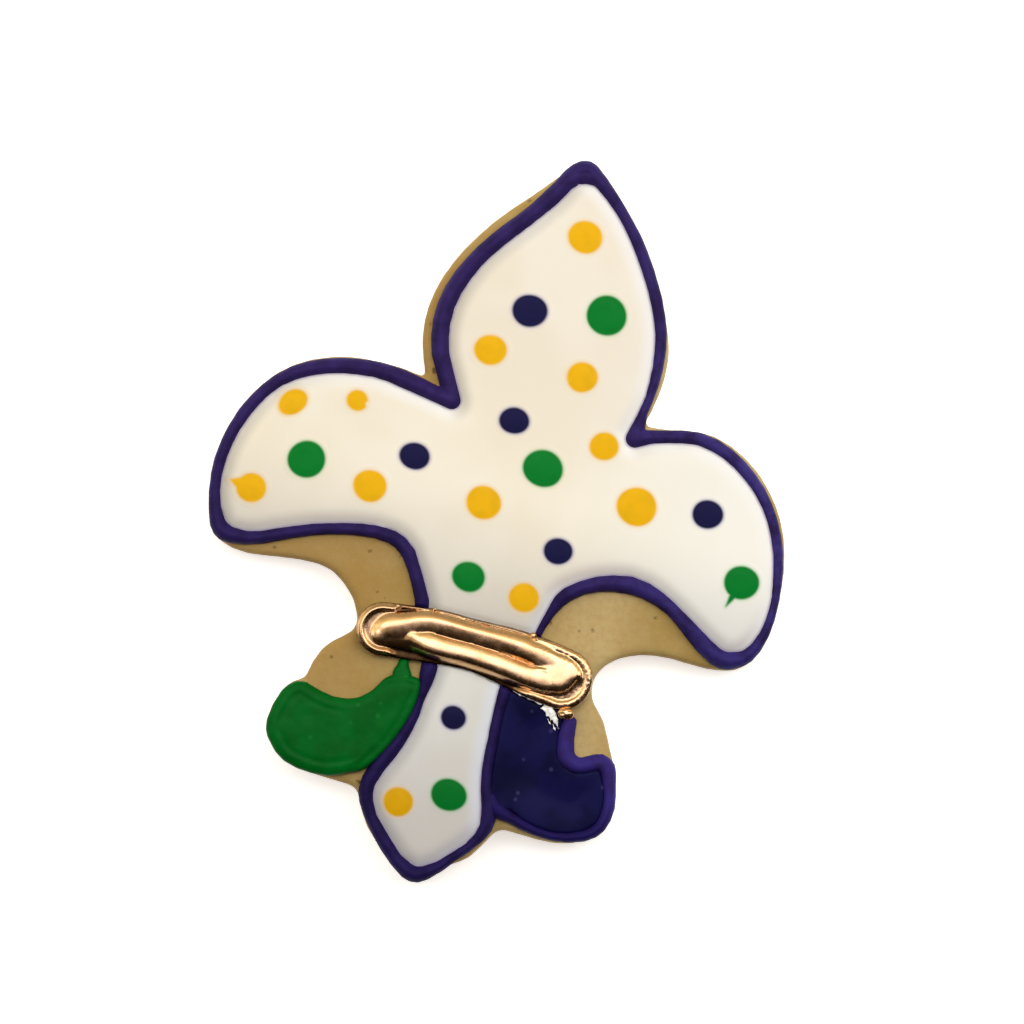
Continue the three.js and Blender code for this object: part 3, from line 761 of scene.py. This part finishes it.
def gold_leaf(place, look):
    """Polished gold leaf with duller clouds, a fine grain and painted shade darkening its foot."""
    gold = blend(patches(place, 2.5 * MM, 0.4, 0.7, detail=3), look.gold, look.old_gold)
    # Painted shade on the band's lowest parts, darkest at its foot against the icing and the dough
    foot = between(coordinate(place, "Z"), DOUGH_TOP + 1.9 * MM, DOUGH_TOP + 1.45 * MM, 0, 0.92)
    matt = between(clouds(place, 1.2 * MM, detail=4), 0.3, 0.75, look.roughness - 0.03, look.roughness + 0.05)
    grain = clouds(place, 0.3 * MM, detail=3, roughness=0.6)
    return {
        "Base Color": blend(foot, gold, look.painted_foot_shade), "Metallic": 1, "Roughness": matt,
        "Normal": bump(grain, strength=0.03, distance=0.05 * MM),
    }


def loose_leaf(place):
    """Bright crumpled leaf."""
    crumple = clouds(place, 0.5 * MM, detail=3, roughness=0.6)
    tone = blend(between(crumple, 0.62, 0.72), (1, 0.99, 0.97), paint(190, 160, 120))
    return {
        "Base Color": tone, "Specular IOR Level": 1, "Roughness": 0.25,
        "Normal": bump(crumple, strength=0.5, distance=0.1 * MM),
    }


def pale_floor(_, look):
    """A plain floor that glows a little, the same at every place."""
    return {
        "Base Color": look.floor, "Roughness": 0.9, "Specular IOR Level": 0,
        "Emission Color": (1, 1, 1), "Emission Strength": 0.6,
    }


# Pieces

def finish_piece(piece, material, slot, *nodes):
    """Give a piece its material and smooth shading, attach it to what it rides on and hide the plain solids
    that it replaces.
    """
    piece.data.materials.clear()
    piece.data.materials.append(material)
    make_active(piece)
    bpy.ops.object.shade_smooth()
    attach(piece, "root")
    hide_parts(*nodes)


def flooded(node_name, name, grain, spread, depth, sink):
    """A flat pool of icing from its plain solid, run in against its lines and set into the dough."""
    piece = copy_of_node(node_name, name)
    remesh(piece, grain)
    swell(piece, spread)
    up = facings(piece)
    level(piece, up > ON_FLAT, DOUGH_TOP + depth)
    level(piece, up < -ON_FLAT, DOUGH_TOP - sink)
    remesh(piece, grain)
    return piece


def white_flood(node_name, name, look):
    """White icing, domed towards its lines."""
    piece = flooded(node_name, name, look.grain, look.spread, look.depth, look.sink)
    upper = facings(piece) > ON_TOP
    edge = wall_distance(piece)
    push(piece, -look.fall, numpy.exp(-edge / look.reach) * upper)
    soften(piece, passes=6)
    roughen(piece, size=12 * MM, height=0.1 * MM, weights=upper * ease(edge, 0.5 * MM, 3 * MM))
    keep_line_values(piece, look.grain)
    tuck_under_band(piece)
    return piece


def piped_line(node_name, name, look):
    """A piped line: rounded, a little uneven and set into the dough."""
    piece = copy_of_node(node_name, name)
    remesh(piece, look.grain)
    swell(piece, look.swell)
    for x, y, reach, amount in LINE_SWELLS:
        away = plan_distance(places(piece), x, y)
        if away.min() < reach * MM:
            core = 0.2 * reach
            swell(piece, amount * MM, 1 - ease(away, core * MM, reach * MM))
    level(piece, facings(piece) < -UNDERNEATH, DOUGH_TOP - look.sink)
    soften(piece, passes=8)
    roughen(piece, look.waver_size, look.waver_height)
    tuck_under_band(piece)
    return piece


def dot_edge_distance(spots, dot, chance, wobble):
    """Signed distance from each spot to the edge of a dot, with its drag and its nick, negative inside."""
    x, y, width, height, turn = dot
    angle = math.radians(turn)
    away = spots[:, :2] - numpy.array((x, y)) * MM
    across = away[:, 0] * math.cos(angle) + away[:, 1] * math.sin(angle)
    along = away[:, 1] * math.cos(angle) - away[:, 0] * math.sin(angle)
    heading = numpy.arctan2(along, across)
    radius = numpy.hypot(across / (width * MM / 2), along / (height * MM / 2))
    # A little over two pi
    full_turn = 6.3
    uneven = 1 + wobble * numpy.sin(2 * heading + chance.uniform(0, full_turn))
    uneven += 0.6 * wobble * numpy.sin(3 * heading + chance.uniform(0, full_turn))
    edge = (radius - uneven) * min(width, height) * MM / 2
    for root_x, root_y, tip_x, tip_y, root_width in DOT_DRAGS:
        if math.hypot(root_x - x, root_y - y) < width / 2:
            edge = numpy.minimum(edge, taper_distance(spots, (root_x, root_y), (tip_x, tip_y), root_width))
    nick_x, nick_y, nick_radius = DOT_NICK
    return numpy.maximum(edge, nick_radius * MM - plan_distance(spots, nick_x, nick_y))


def taper_distance(spots, root, tip, root_width):
    """Signed distance from each spot to a stroke that runs out to a point."""
    start = numpy.array(root) * MM
    run = numpy.array(tip) * MM - start
    away = spots[:, :2] - start
    t = numpy.clip(away @ run / (run @ run), 0, 1)
    off = numpy.linalg.norm(away - t[:, None] * run, axis=1)
    return off - root_width * MM / 2 * (1 - t)


def one_dot(dot, chance, look, white_pieces):
    """A dot moulded onto the white icing: a low dome with a thin bled skirt round it."""
    x, y, width, height, _ = dot
    margin = 6
    clear_of_icing = DOUGH_TOP + 5 * MM
    skirt_end = look.halo + 3 * look.grain
    skirt_drop = 0.035 * MM
    side = (max(width, height) + margin) * MM
    cells = int(side / look.grain)
    piece = added(
        bpy.ops.mesh.primitive_grid_add, x_subdivisions=cells, y_subdivisions=cells, size=side,
        location=(x * MM, y * MM, clear_of_icing),
    )
    bpy.ops.object.transform_apply()
    seed = chance.random()
    edge = dot_edge_distance(places(piece), dot, random.Random(seed), look.wobble)
    select_vertices(piece, edge > skirt_end)
    bpy.ops.mesh.delete(type="VERT")
    bpy.ops.object.mode_set(mode="OBJECT")
    ground = white_pieces[0] if y > BAND_AXIS[0][1] else white_pieces[1]
    apply_modifier(
        piece, "SHRINKWRAP", target=ground, wrap_method="PROJECT", use_project_z=True,
        use_negative_direction=True, use_positive_direction=False, offset=0,
    )
    edge = dot_edge_distance(places(piece), dot, random.Random(seed), look.wobble)
    push(piece, look.clear, numpy.ones(len(edge)))
    push(piece, look.rise, 1 - ease(edge, -1.2 * MM, 0.1 * MM))
    push(piece, -skirt_drop, ease(edge, look.halo, skirt_end))
    keep_value(piece, "dot_edge", edge)
    keep_line_values(piece, look.grain)
    apply_modifier(piece, "SOLIDIFY", thickness=look.thickness, offset=-1)
    return piece


def joined(pieces, name):
    """Several objects joined into one."""
    make_active(pieces[0])
    for piece in pieces:
        piece.select_set(True)
    bpy.ops.object.join()
    pieces[0].name = name
    pieces[0].data.name = name
    return pieces[0]


def slab_of(outline, bottom, thickness, grain):
    """A slab over an outline, covered with even faces."""
    piece = added(bpy.ops.mesh.primitive_circle_add, vertices=len(outline), radius=1, fill_type="NGON")
    move_to(piece, numpy.hstack([outline, numpy.full((len(outline), 1), bottom)]))
    bpy.ops.object.mode_set(mode="EDIT")
    bpy.ops.mesh.select_all(action="SELECT")
    bpy.ops.mesh.extrude_region_move(TRANSFORM_OT_translate={"value": (0, 0, thickness)})
    bpy.ops.mesh.select_all(action="SELECT")
    bpy.ops.mesh.normals_make_consistent(inside=False)
    bpy.ops.object.mode_set(mode="OBJECT")
    remesh(piece, grain)
    return piece


def lump(place, height, segments, scale, dent_size, dent_depth):
    """A dented lump of leaf at a place above the dough, given as x, y and radius in millimetres."""
    x, y, radius = place
    rings = int(0.6 * segments)
    piece = added(
        bpy.ops.mesh.primitive_uv_sphere_add, segments=segments, ring_count=rings, radius=radius * MM,
    )
    piece.location = (x * MM, y * MM, DOUGH_TOP + height)
    piece.scale = scale
    bpy.ops.object.transform_apply()
    roughen(piece, dent_size, dent_depth)
    return piece


def band_outline():
    """Points round the band's outline, in metres, anticlockwise seen from above."""
    axis = smooth_curve(BAND_AXIS, steps=8)
    along = numpy.gradient(axis[:, :2], axis=0)
    along /= numpy.linalg.norm(along, axis=1)[:, None]
    right = numpy.column_stack([along[:, 1], -along[:, 0]])
    half = axis[:, 2] / 2
    lower = axis[:, :2] + right * half[:, None]
    upper = axis[:, :2] - right * half[:, None]
    ends = []
    steps = 24
    for i, start in ((-1, right[-1]), (0, -right[0])):
        turns = math.atan2(start[1], start[0]) + math.pi * numpy.arange(1, steps) / steps
        ends.append(axis[i, :2] + half[i] * numpy.column_stack([numpy.cos(turns), numpy.sin(turns)]))
    return numpy.vstack([lower, ends[0], upper[::-1], ends[1]])


def rounded(off, flatness=ROUNDNESS):
    """Height of a roll's section, 1 on its crest and 0 at its side: flat on top and steep at the side."""
    steepness = 0.85
    return (1 - numpy.clip(off, 0, 1) ** flatness) ** steepness


def roll_height(spots, crest, valley, lip):
    """Height of a long roll at each spot, in millimetres, with a share of it left up to its upper edge."""
    curve = smooth_curve(crest, steps=30)
    nearest, _ = nearest_points(curve, spots)
    line = curve / MM
    ahead = numpy.gradient(line[:, :2], axis=0)
    ahead /= numpy.linalg.norm(ahead, axis=1)[:, None]
    away = spots[:, :2] / MM - line[nearest, :2]
    off = numpy.linalg.norm(away, axis=1)
    cross = ahead[nearest, 0] * away[:, 1] - ahead[nearest, 1] * away[:, 0]
    above = 0.5 + 0.5 * cross / numpy.maximum(off, NO_LENGTH / MM)
    half = line[nearest, 2] * above + line[nearest, 3] * (1 - above)
    kept = lip * ease(above, 0.4, 0.6) * (1 - ease(off / half, 0.9, 1.0))
    return valley + (line[nearest, 4] - valley) * (kept + (1 - kept) * rounded(off / half))


def band_height(spots, look):
    """Height of the band above the dough at each spot: two long rolls and a flat pillow in a rim."""
    inset, towards = band_inset(spots)
    x = spots[:, 0] / MM
    y = spots[:, 1] / MM
    d = inset / MM
    right_end = ease(x, 7, 10)
    # Between the ends the rim is thin on the upper side and runs out on the lower side
    upper_side = ease(-towards[:, 1], -0.2, 0.5)
    thin = upper_side * ease(x, -11, -10.4) * (1 - ease(x, 7.9, 8.4))
    low = (1 - upper_side) * ease(x, -11, -9) * (1 - ease(x, 8, 11))
    half = 0.75 - 0.07 * ease(x, 8.5, 11) - 0.35 * low - 0.45 * thin
    # The valley inside the rim is shallower at both ends
    foot = 0.5
    valley = look.valley_height / MM + 0.4 * ease(x, 7, 11) + 0.3 * (1 - ease(x, -11.5, -9.5))
    valley += 0.4 * right_end * upper_side * ease(d, 1.1, 1.8)
    top = look.rim_height / MM - 0.15 * thin
    top += (valley - top) * low * (1 - right_end)
    rim = foot + (top - foot) * rounded(numpy.abs(d - half) / half, ROUNDNESS + 2 * right_end)
    height = numpy.maximum(rim, foot + (valley - foot) * ease(d, 0, 0.5))
    # Both rolls have a sharp upper edge, which the upper one loses at the right end
    upper_lip = 0.3 * ease(x, -9.5, -7.5) * (1 - ease(x, 7.5, 9))
    lower_lip = 0.7 * ease(x, -8.2, -5)
    for crest, lip in ((CUSHION, 0), (UPPER_ROLL, upper_lip), (LOWER_ROLL, lower_lip)):
        height = numpy.maximum(height, roll_height(spots, crest, valley, lip) * (d > 0))
    pillow_x, pillow_y, radius, pillow_top = PILLOW
    off = numpy.hypot(x - pillow_x, y - pillow_y) / radius
    slope = 0.08 * (y - pillow_y)
    pillow = valley + (pillow_top - valley) * (1 - numpy.clip(off, 0, 1) ** 6) - slope
    return MM * numpy.maximum(height, pillow * (off < 1))


class COOKIE_OT_dough(bpy.types.Operator):
    """Make the baked dough: soft edges, low waves and a fine crumb"""

    bl_idname = "cookie.dough"
    bl_label = "Baked dough"

    def execute(self, context):
        look = context.scene.cookie_dough
        piece = copy_of_node("cookie", "baked_dough")
        remesh(piece, look.grain)
        soften(piece, passes=6)
        # The waves and the crumb run out towards the underside, which stays flat
        above = 1 - ease(places(piece)[:, 2], 1.2 * MM, 0.3 * MM)
        roughen(piece, look.wave_size, look.wave_height, above)
        roughen(piece, look.crumb_size, look.crumb_height, above)
        underside = 0.12 * MM
        level(piece, places(piece)[:, 2] < underside, 0)
        finish_piece(piece, new_material("baked_dough", baked_dough, look), "baked_cookie", "cookie")
        return {"FINISHED"}


class COOKIE_OT_white(bpy.types.Operator):
    """Flood the petals and the tail with white icing"""

    bl_idname = "cookie.white"
    bl_label = "White icing"

    def execute(self, context):
        look = context.scene.cookie_white
        material = new_material("white_icing", white_icing, look)
        for node_name, name in (("white_icing_top", "white_petals"), ("white_icing_tail", "white_tail")):
            finish_piece(white_flood(node_name, name, look), material, "white_icing", node_name)
        return {"FINISHED"}


class COOKIE_OT_lines(bpy.types.Operator):
    """Pipe the purple lines round the petals, the tail and the right curl"""

    bl_idname = "cookie.lines"
    bl_label = "Purple lines"

    def execute(self, context):
        look = context.scene.cookie_lines
        dark = new_material("purple_line", line_icing, look)
        bright = new_material("purple_curl_line", curl_line_icing, look)
        for node_name, name, material, drags in (
            ("purple_line_top", "petal_line", dark, []),
            ("purple_line_tail", "tail_line", dark, []),
            ("purple_curl_line", "curl_line", bright, CURL_DRAGS),
        ):
            piece = piped_line(node_name, name, look)
            for drag in drags:
                draw_out(piece, drag)
            finish_piece(piece, material, "purple_icing", node_name)
        return {"FINISHED"}


class COOKIE_OT_curls(bpy.types.Operator):
    """Fill the two curls at the foot, green on the left and dark purple on the right"""

    bl_idname = "cookie.curls"
    bl_label = "Filled curls"

    def execute(self, context):
        look = context.scene.cookie_curls
        self.make_green(look)
        self.make_dark(look)
        return {"FINISHED"}

    def make_green(self, look):
        """The thick green curl, with the seam between its outline and its filling."""
        piece = copy_of_node("green_curl", "green_curl_icing")
        remesh(piece, look.grain)
        spots = places(piece)
        beside_tail = ease(spots[:, 0], -12 * MM, -9 * MM) * (1 - ease(spots[:, 1], -23.4 * MM, -21.8 * MM))
        gap_to_tail = 0.55 * MM
        swell(piece, gap_to_tail, beside_tail * (numpy.abs(facings(piece)) < UNDERNEATH))
        level(piece, facings(piece) < -UNDERNEATH, DOUGH_TOP - look.sink)
        soften(piece, passes=10)
        edge = wall_distance(piece)
        upper = facings(piece) > ON_TOP
        seam = numpy.exp(-((edge - look.furrow_inset) / look.furrow_width) ** 2)
        # The seam shows only in the left part
        spots = places(piece)
        left_part = 1 - ease(spots[:, 0] + 0.5 * spots[:, 1], -33 * MM, -27 * MM)
        push(piece, -look.furrow_depth, seam * upper * left_part)
        roughen(piece, size=3 * MM, height=0.22 * MM, weights=upper * ease(edge, 0, 1.5 * MM))
        soften(piece, passes=2)
        tuck_under_band(piece)
        green = new_material(
            "green_curl_icing", curl_icing, look.green, look.deep_green, look.roughness,
            cloud_size=4 * MM, bubbles=0.12,
        )
        finish_piece(piece, green, "green_icing", "green_curl")

    def make_dark(self, look):
        """The dark flood of the right curl, sunk a little in its middle."""
        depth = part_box("purple_curl")[1].z - DOUGH_TOP
        piece = flooded("purple_curl", "dark_curl_icing", look.grain, look.spread, depth, look.sink)
        edge = wall_distance(piece)
        upper = facings(piece) > ON_TOP
        push(piece, -look.dip, ease(edge, 0.5 * MM, 5 * MM) * upper)
        soften(piece, passes=6)
        roughen(piece, size=6 * MM, height=0.12 * MM, weights=upper * ease(edge, 0, 2 * MM))
        draw_out(piece, FLOOD_DRAG)
        tuck_under_band(piece)
        dark = new_material(
            "dark_curl_icing", curl_icing, look.navy, look.deep_navy, look.roughness,
            cloud_size=6 * MM, bubbles=0.35,
        )
        finish_piece(piece, dark, "dark_purple_icing", "purple_curl")


class COOKIE_OT_dots(bpy.types.Operator):
    """Drop the yellow, green and purple dots into the white icing"""

    bl_idname = "cookie.dots"
    bl_label = "Dots"

    def execute(self, context):
        look = context.scene.cookie_dots
        white = context.scene.cookie_white
        ground = [bpy.data.objects["white_petals"], bpy.data.objects["white_tail"]]
        chance = random.Random(SEED)
        for dots, name, tone, slot, spread in (
            (YELLOW_DOTS, "yellow_dots", look.yellow, "yellow_icing", 0),
            (GREEN_DOTS, "green_dots", look.green, "green_icing", look.spread),
            (PURPLE_DOTS, "purple_dots", look.purple, "dark_purple_icing", look.spread),
        ):
            piece = joined([one_dot(dot, chance, look, ground) for dot in dots], name)
            material = new_material(name, dot_icing, tone, look, white, spread)
            finish_piece(piece, material, slot, "white_icing_top", "white_icing_tail")
        return {"FINISHED"}


class COOKIE_OT_band(bpy.types.Operator):
    """Lay the gold band across the waist, with its bead, its specks and the loose shreds of leaf"""

    bl_idname = "cookie.band"
    bl_label = "Gold band"

    def execute(self, context):
        look = context.scene.cookie_band
        gold = new_material("gold_leaf", gold_leaf, look)
        band = self.make_band(look)
        bead = lump(
            BAND_BEAD, 1.75 * MM, segments=40, scale=(1.265, 1.045, 0.66), dent_size=0.6 * MM,
            dent_depth=0.35 * MM,
        )
        soften(bead, passes=2)
        crumbs = [
            lump(speck, 1.85 * MM, segments=24, scale=(1, 1, 1), dent_size=0.4 * MM, dent_depth=0.2 * MM)
            for speck in BAND_SPECKS
        ]
        finish_piece(joined([band, bead, *crumbs], "gold_leaf_band"), gold, "gold_icing", "gold_band")
        shreds = [self.make_shred(edge) for edge in LEAF_SHREDS]
        leaf = new_material("leaf_flake", loose_leaf)
        finish_piece(joined(shreds, "leaf_shreds"), leaf, "gold_icing", "gold_band")
        return {"FINISHED"}

    def make_band(self, look):
        """The band: a slab of its outline, raised to a rim and two long rolls."""
        band = slab_of(band_outline(), DOUGH_TOP - look.sink, look.sink + BAND_SLAB, look.grain)
        upper = facings(band) > ON_WALL
        rise = band_height(places(band), look) - BAND_SLAB
        tallest = numpy.abs(rise).max()
        push(band, tallest, numpy.clip(rise / tallest, 0, 1) * upper)
        push(band, -tallest, numpy.clip(-rise / tallest, 0, 1) * upper)
        remesh(band, look.grain)
        soften(band, passes=9)
        spots = places(band)
        inset, _ = band_inset(spots)
        hammered = ease(spots[:, 0], 7.5 * MM, 10 * MM) * (1 - ease(inset, 1.5 * MM, 2.6 * MM))
        roughen(band, look.dimple_size, look.dimple_depth, hammered)
        roughen(band, size=5 * MM, height=0.06 * MM)
        soften(band, passes=2)
        return band

    def make_shred(self, edge):
        """A loose shred of leaf: a thin crumpled sliver lying on the dark curl."""
        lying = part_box("purple_curl")[1].z + 0.02 * MM
        shred = slab_of(numpy.array(edge[::-1]) * MM, lying, thickness=0.3 * MM, grain=0.06 * MM)
        soften(shred, passes=2)
        roughen(shred, size=0.7 * MM, height=0.5 * MM)
        return shred


class COOKIE_OT_studio(bpy.types.Operator):
    """Set the floor, the soft lights and the camera"""

    bl_idname = "cookie.studio"
    bl_label = "Studio"

    def execute(self, context):
        look = context.scene.cookie_studio
        self.lay_floor(look)
        self.light_world(context.scene)
        cool = (0.95, 0.97, 1)
        plain = (1, 0.98, 0.96)
        blue = (0.91, 0.86, 1)
        warm = (1, 0.88, 0.66)
        # Azimuth and height in degrees, distance and sides in metres, power in watts
        self.soft_box("strip_above", 92, 80, 0.42, (0.5, 0.16), 0.78, plain, gloss=False)
        self.soft_box("strip_shine", 92, 80, 0.41, (0.5, 0.16), 0.68, blue, fill=False)
        self.soft_box("window_above", 92, 50, 0.24, (0.36, 0.36), 0.16, plain, gloss=False)
        self.soft_box("window_right", 12, 45, 0.35, (0.2, 0.2), 0.27, cool)
        self.soft_box("window_left", 178, 28, 0.45, (0.2, 0.2), 0.2, cool)
        self.soft_box("card_left", 180, 52, 0.35, (0.3, 0.3), 0.14, warm, fill=False)
        self.set_camera(context.scene, look)
        return {"FINISHED"}

    def lay_floor(self, look):
        """A wide square floor."""
        floor = added(bpy.ops.mesh.primitive_plane_add, size=look.floor_size)
        floor.name = "floor"
        floor.data.materials.append(new_material("pale_floor", pale_floor, look))

    def light_world(self, scene):
        """A soft dome: bright a little beyond the top of the picture, dim overhead and towards its foot."""
        world = bpy.data.worlds.new("soft_dome")
        world.use_nodes = True
        background = world.node_tree.nodes["Background"]
        turn = scene.cookie_studio.turn
        picture_up = (-math.sin(turn), math.cos(turn), 0)
        heading = node(background, "ShaderNodeTexCoord", {}).outputs["Generated"]
        values = {0: heading, 1: picture_up}
        beyond = node(heading, "ShaderNodeVectorMath", values, operation="DOT_PRODUCT").outputs["Value"]
        shine = node(heading, "ShaderNodeLightPath", {}).outputs["Is Glossy Ray"]
        bright = blend(shine, (1, 0.94, 0.72), (1, 0.86, 0.48))
        dim = blend(shine, (0.04, 0.03, 0.016), (0.012, 0.007, 0.002))
        glow = blend(between(beyond, 0, 0.4), dim, bright)
        low_sky = (0.45, 0.4, 0.28)
        fill_inputs(background, {"Color": blend(between(beyond, 0.5, 0.85), glow, low_sky)})
        scene.world = world

    def soft_box(self, name, azimuth, height, away, size, power, tone, gloss=True, fill=True):
        """A soft light that faces the cookie, placed as seen in the picture with azimuth 0 to the right.

        Without gloss it doesn't show in reflections. Without fill it shows only there.
        """
        turn = bpy.context.scene.cookie_studio.turn
        heading = math.radians(azimuth) + turn
        lift = math.radians(height)
        place = Vector((
            away * math.cos(lift) * math.cos(heading),
            away * math.cos(lift) * math.sin(heading),
            away * math.sin(lift),
        ))
        facing = (-place).to_track_quat("-Z", "Y").to_euler()
        lamp = added(bpy.ops.object.light_add, type="AREA", location=place, rotation=facing)
        lamp.name = name
        lamp.data.name = name
        lamp.data.shape = "RECTANGLE"
        lamp.data.size, lamp.data.size_y = size
        lamp.data.energy = power
        lamp.data.color = tone
        lamp.visible_camera = False
        lamp.visible_glossy = gloss
        lamp.visible_diffuse = fill

    def set_camera(self, scene, look):
        """A camera that looks straight down, turned as the photograph was."""
        sensor = 36
        height = look.view_height + look.view_width * look.lens / sensor
        place = (look.view_x, look.view_y, height)
        camera = added(bpy.ops.object.camera_add, location=place, rotation=(0, 0, look.turn))
        camera.name = "camera"
        camera.data.lens = look.lens
        camera.data.sensor_width = sensor
        camera.data.clip_start = 0.01
        scene.camera = camera
        scene.view_settings.view_transform = "Standard"


class COOKIE_PT_panel(bpy.types.Panel):
    """Lists the steps in the order they are made"""

    bl_idname = "COOKIE_PT_panel"
    bl_label = "Iced cookie"
    bl_space_type = "VIEW_3D"
    bl_region_type = "UI"
    bl_category = "Cookie"

    def draw(self, context):
        for operator, name, _ in STEPS:
            box = self.layout.box()
            box.operator(operator.bl_idname)
            settings = getattr(context.scene, name)
            for setting in settings.__annotations__:
                box.prop(settings, setting)


STEPS = [
    (COOKIE_OT_studio, "cookie_studio", StudioSettings),
    (COOKIE_OT_dough, "cookie_dough", DoughSettings),
    (COOKIE_OT_lines, "cookie_lines", LineSettings),
    (COOKIE_OT_white, "cookie_white", WhiteSettings),
    (COOKIE_OT_curls, "cookie_curls", CurlSettings),
    (COOKIE_OT_dots, "cookie_dots", DotSettings),
    (COOKIE_OT_band, "cookie_band", BandSettings),
]


def register():
    """Register the settings, the steps and the panel."""
    for operator, name, group in STEPS:
        bpy.utils.register_class(group)
        setattr(bpy.types.Scene, name, bpy.props.PointerProperty(type=group))
        bpy.utils.register_class(operator)
    bpy.utils.register_class(COOKIE_PT_panel)


def unregister():
    """Take the panel, the steps and the settings away again."""
    bpy.utils.unregister_class(COOKIE_PT_panel)
    for operator, name, group in reversed(STEPS):
        bpy.utils.unregister_class(operator)
        delattr(bpy.types.Scene, name)
        bpy.utils.unregister_class(group)


def main():
    """Dress the cookie step by step."""
    register()
    bpy.ops.cookie.studio()
    bpy.ops.cookie.dough()
    bpy.ops.cookie.lines()
    bpy.ops.cookie.white()
    bpy.ops.cookie.curls()
    bpy.ops.cookie.dots()
    bpy.ops.cookie.band()


if __name__ == "__main__":
    main()
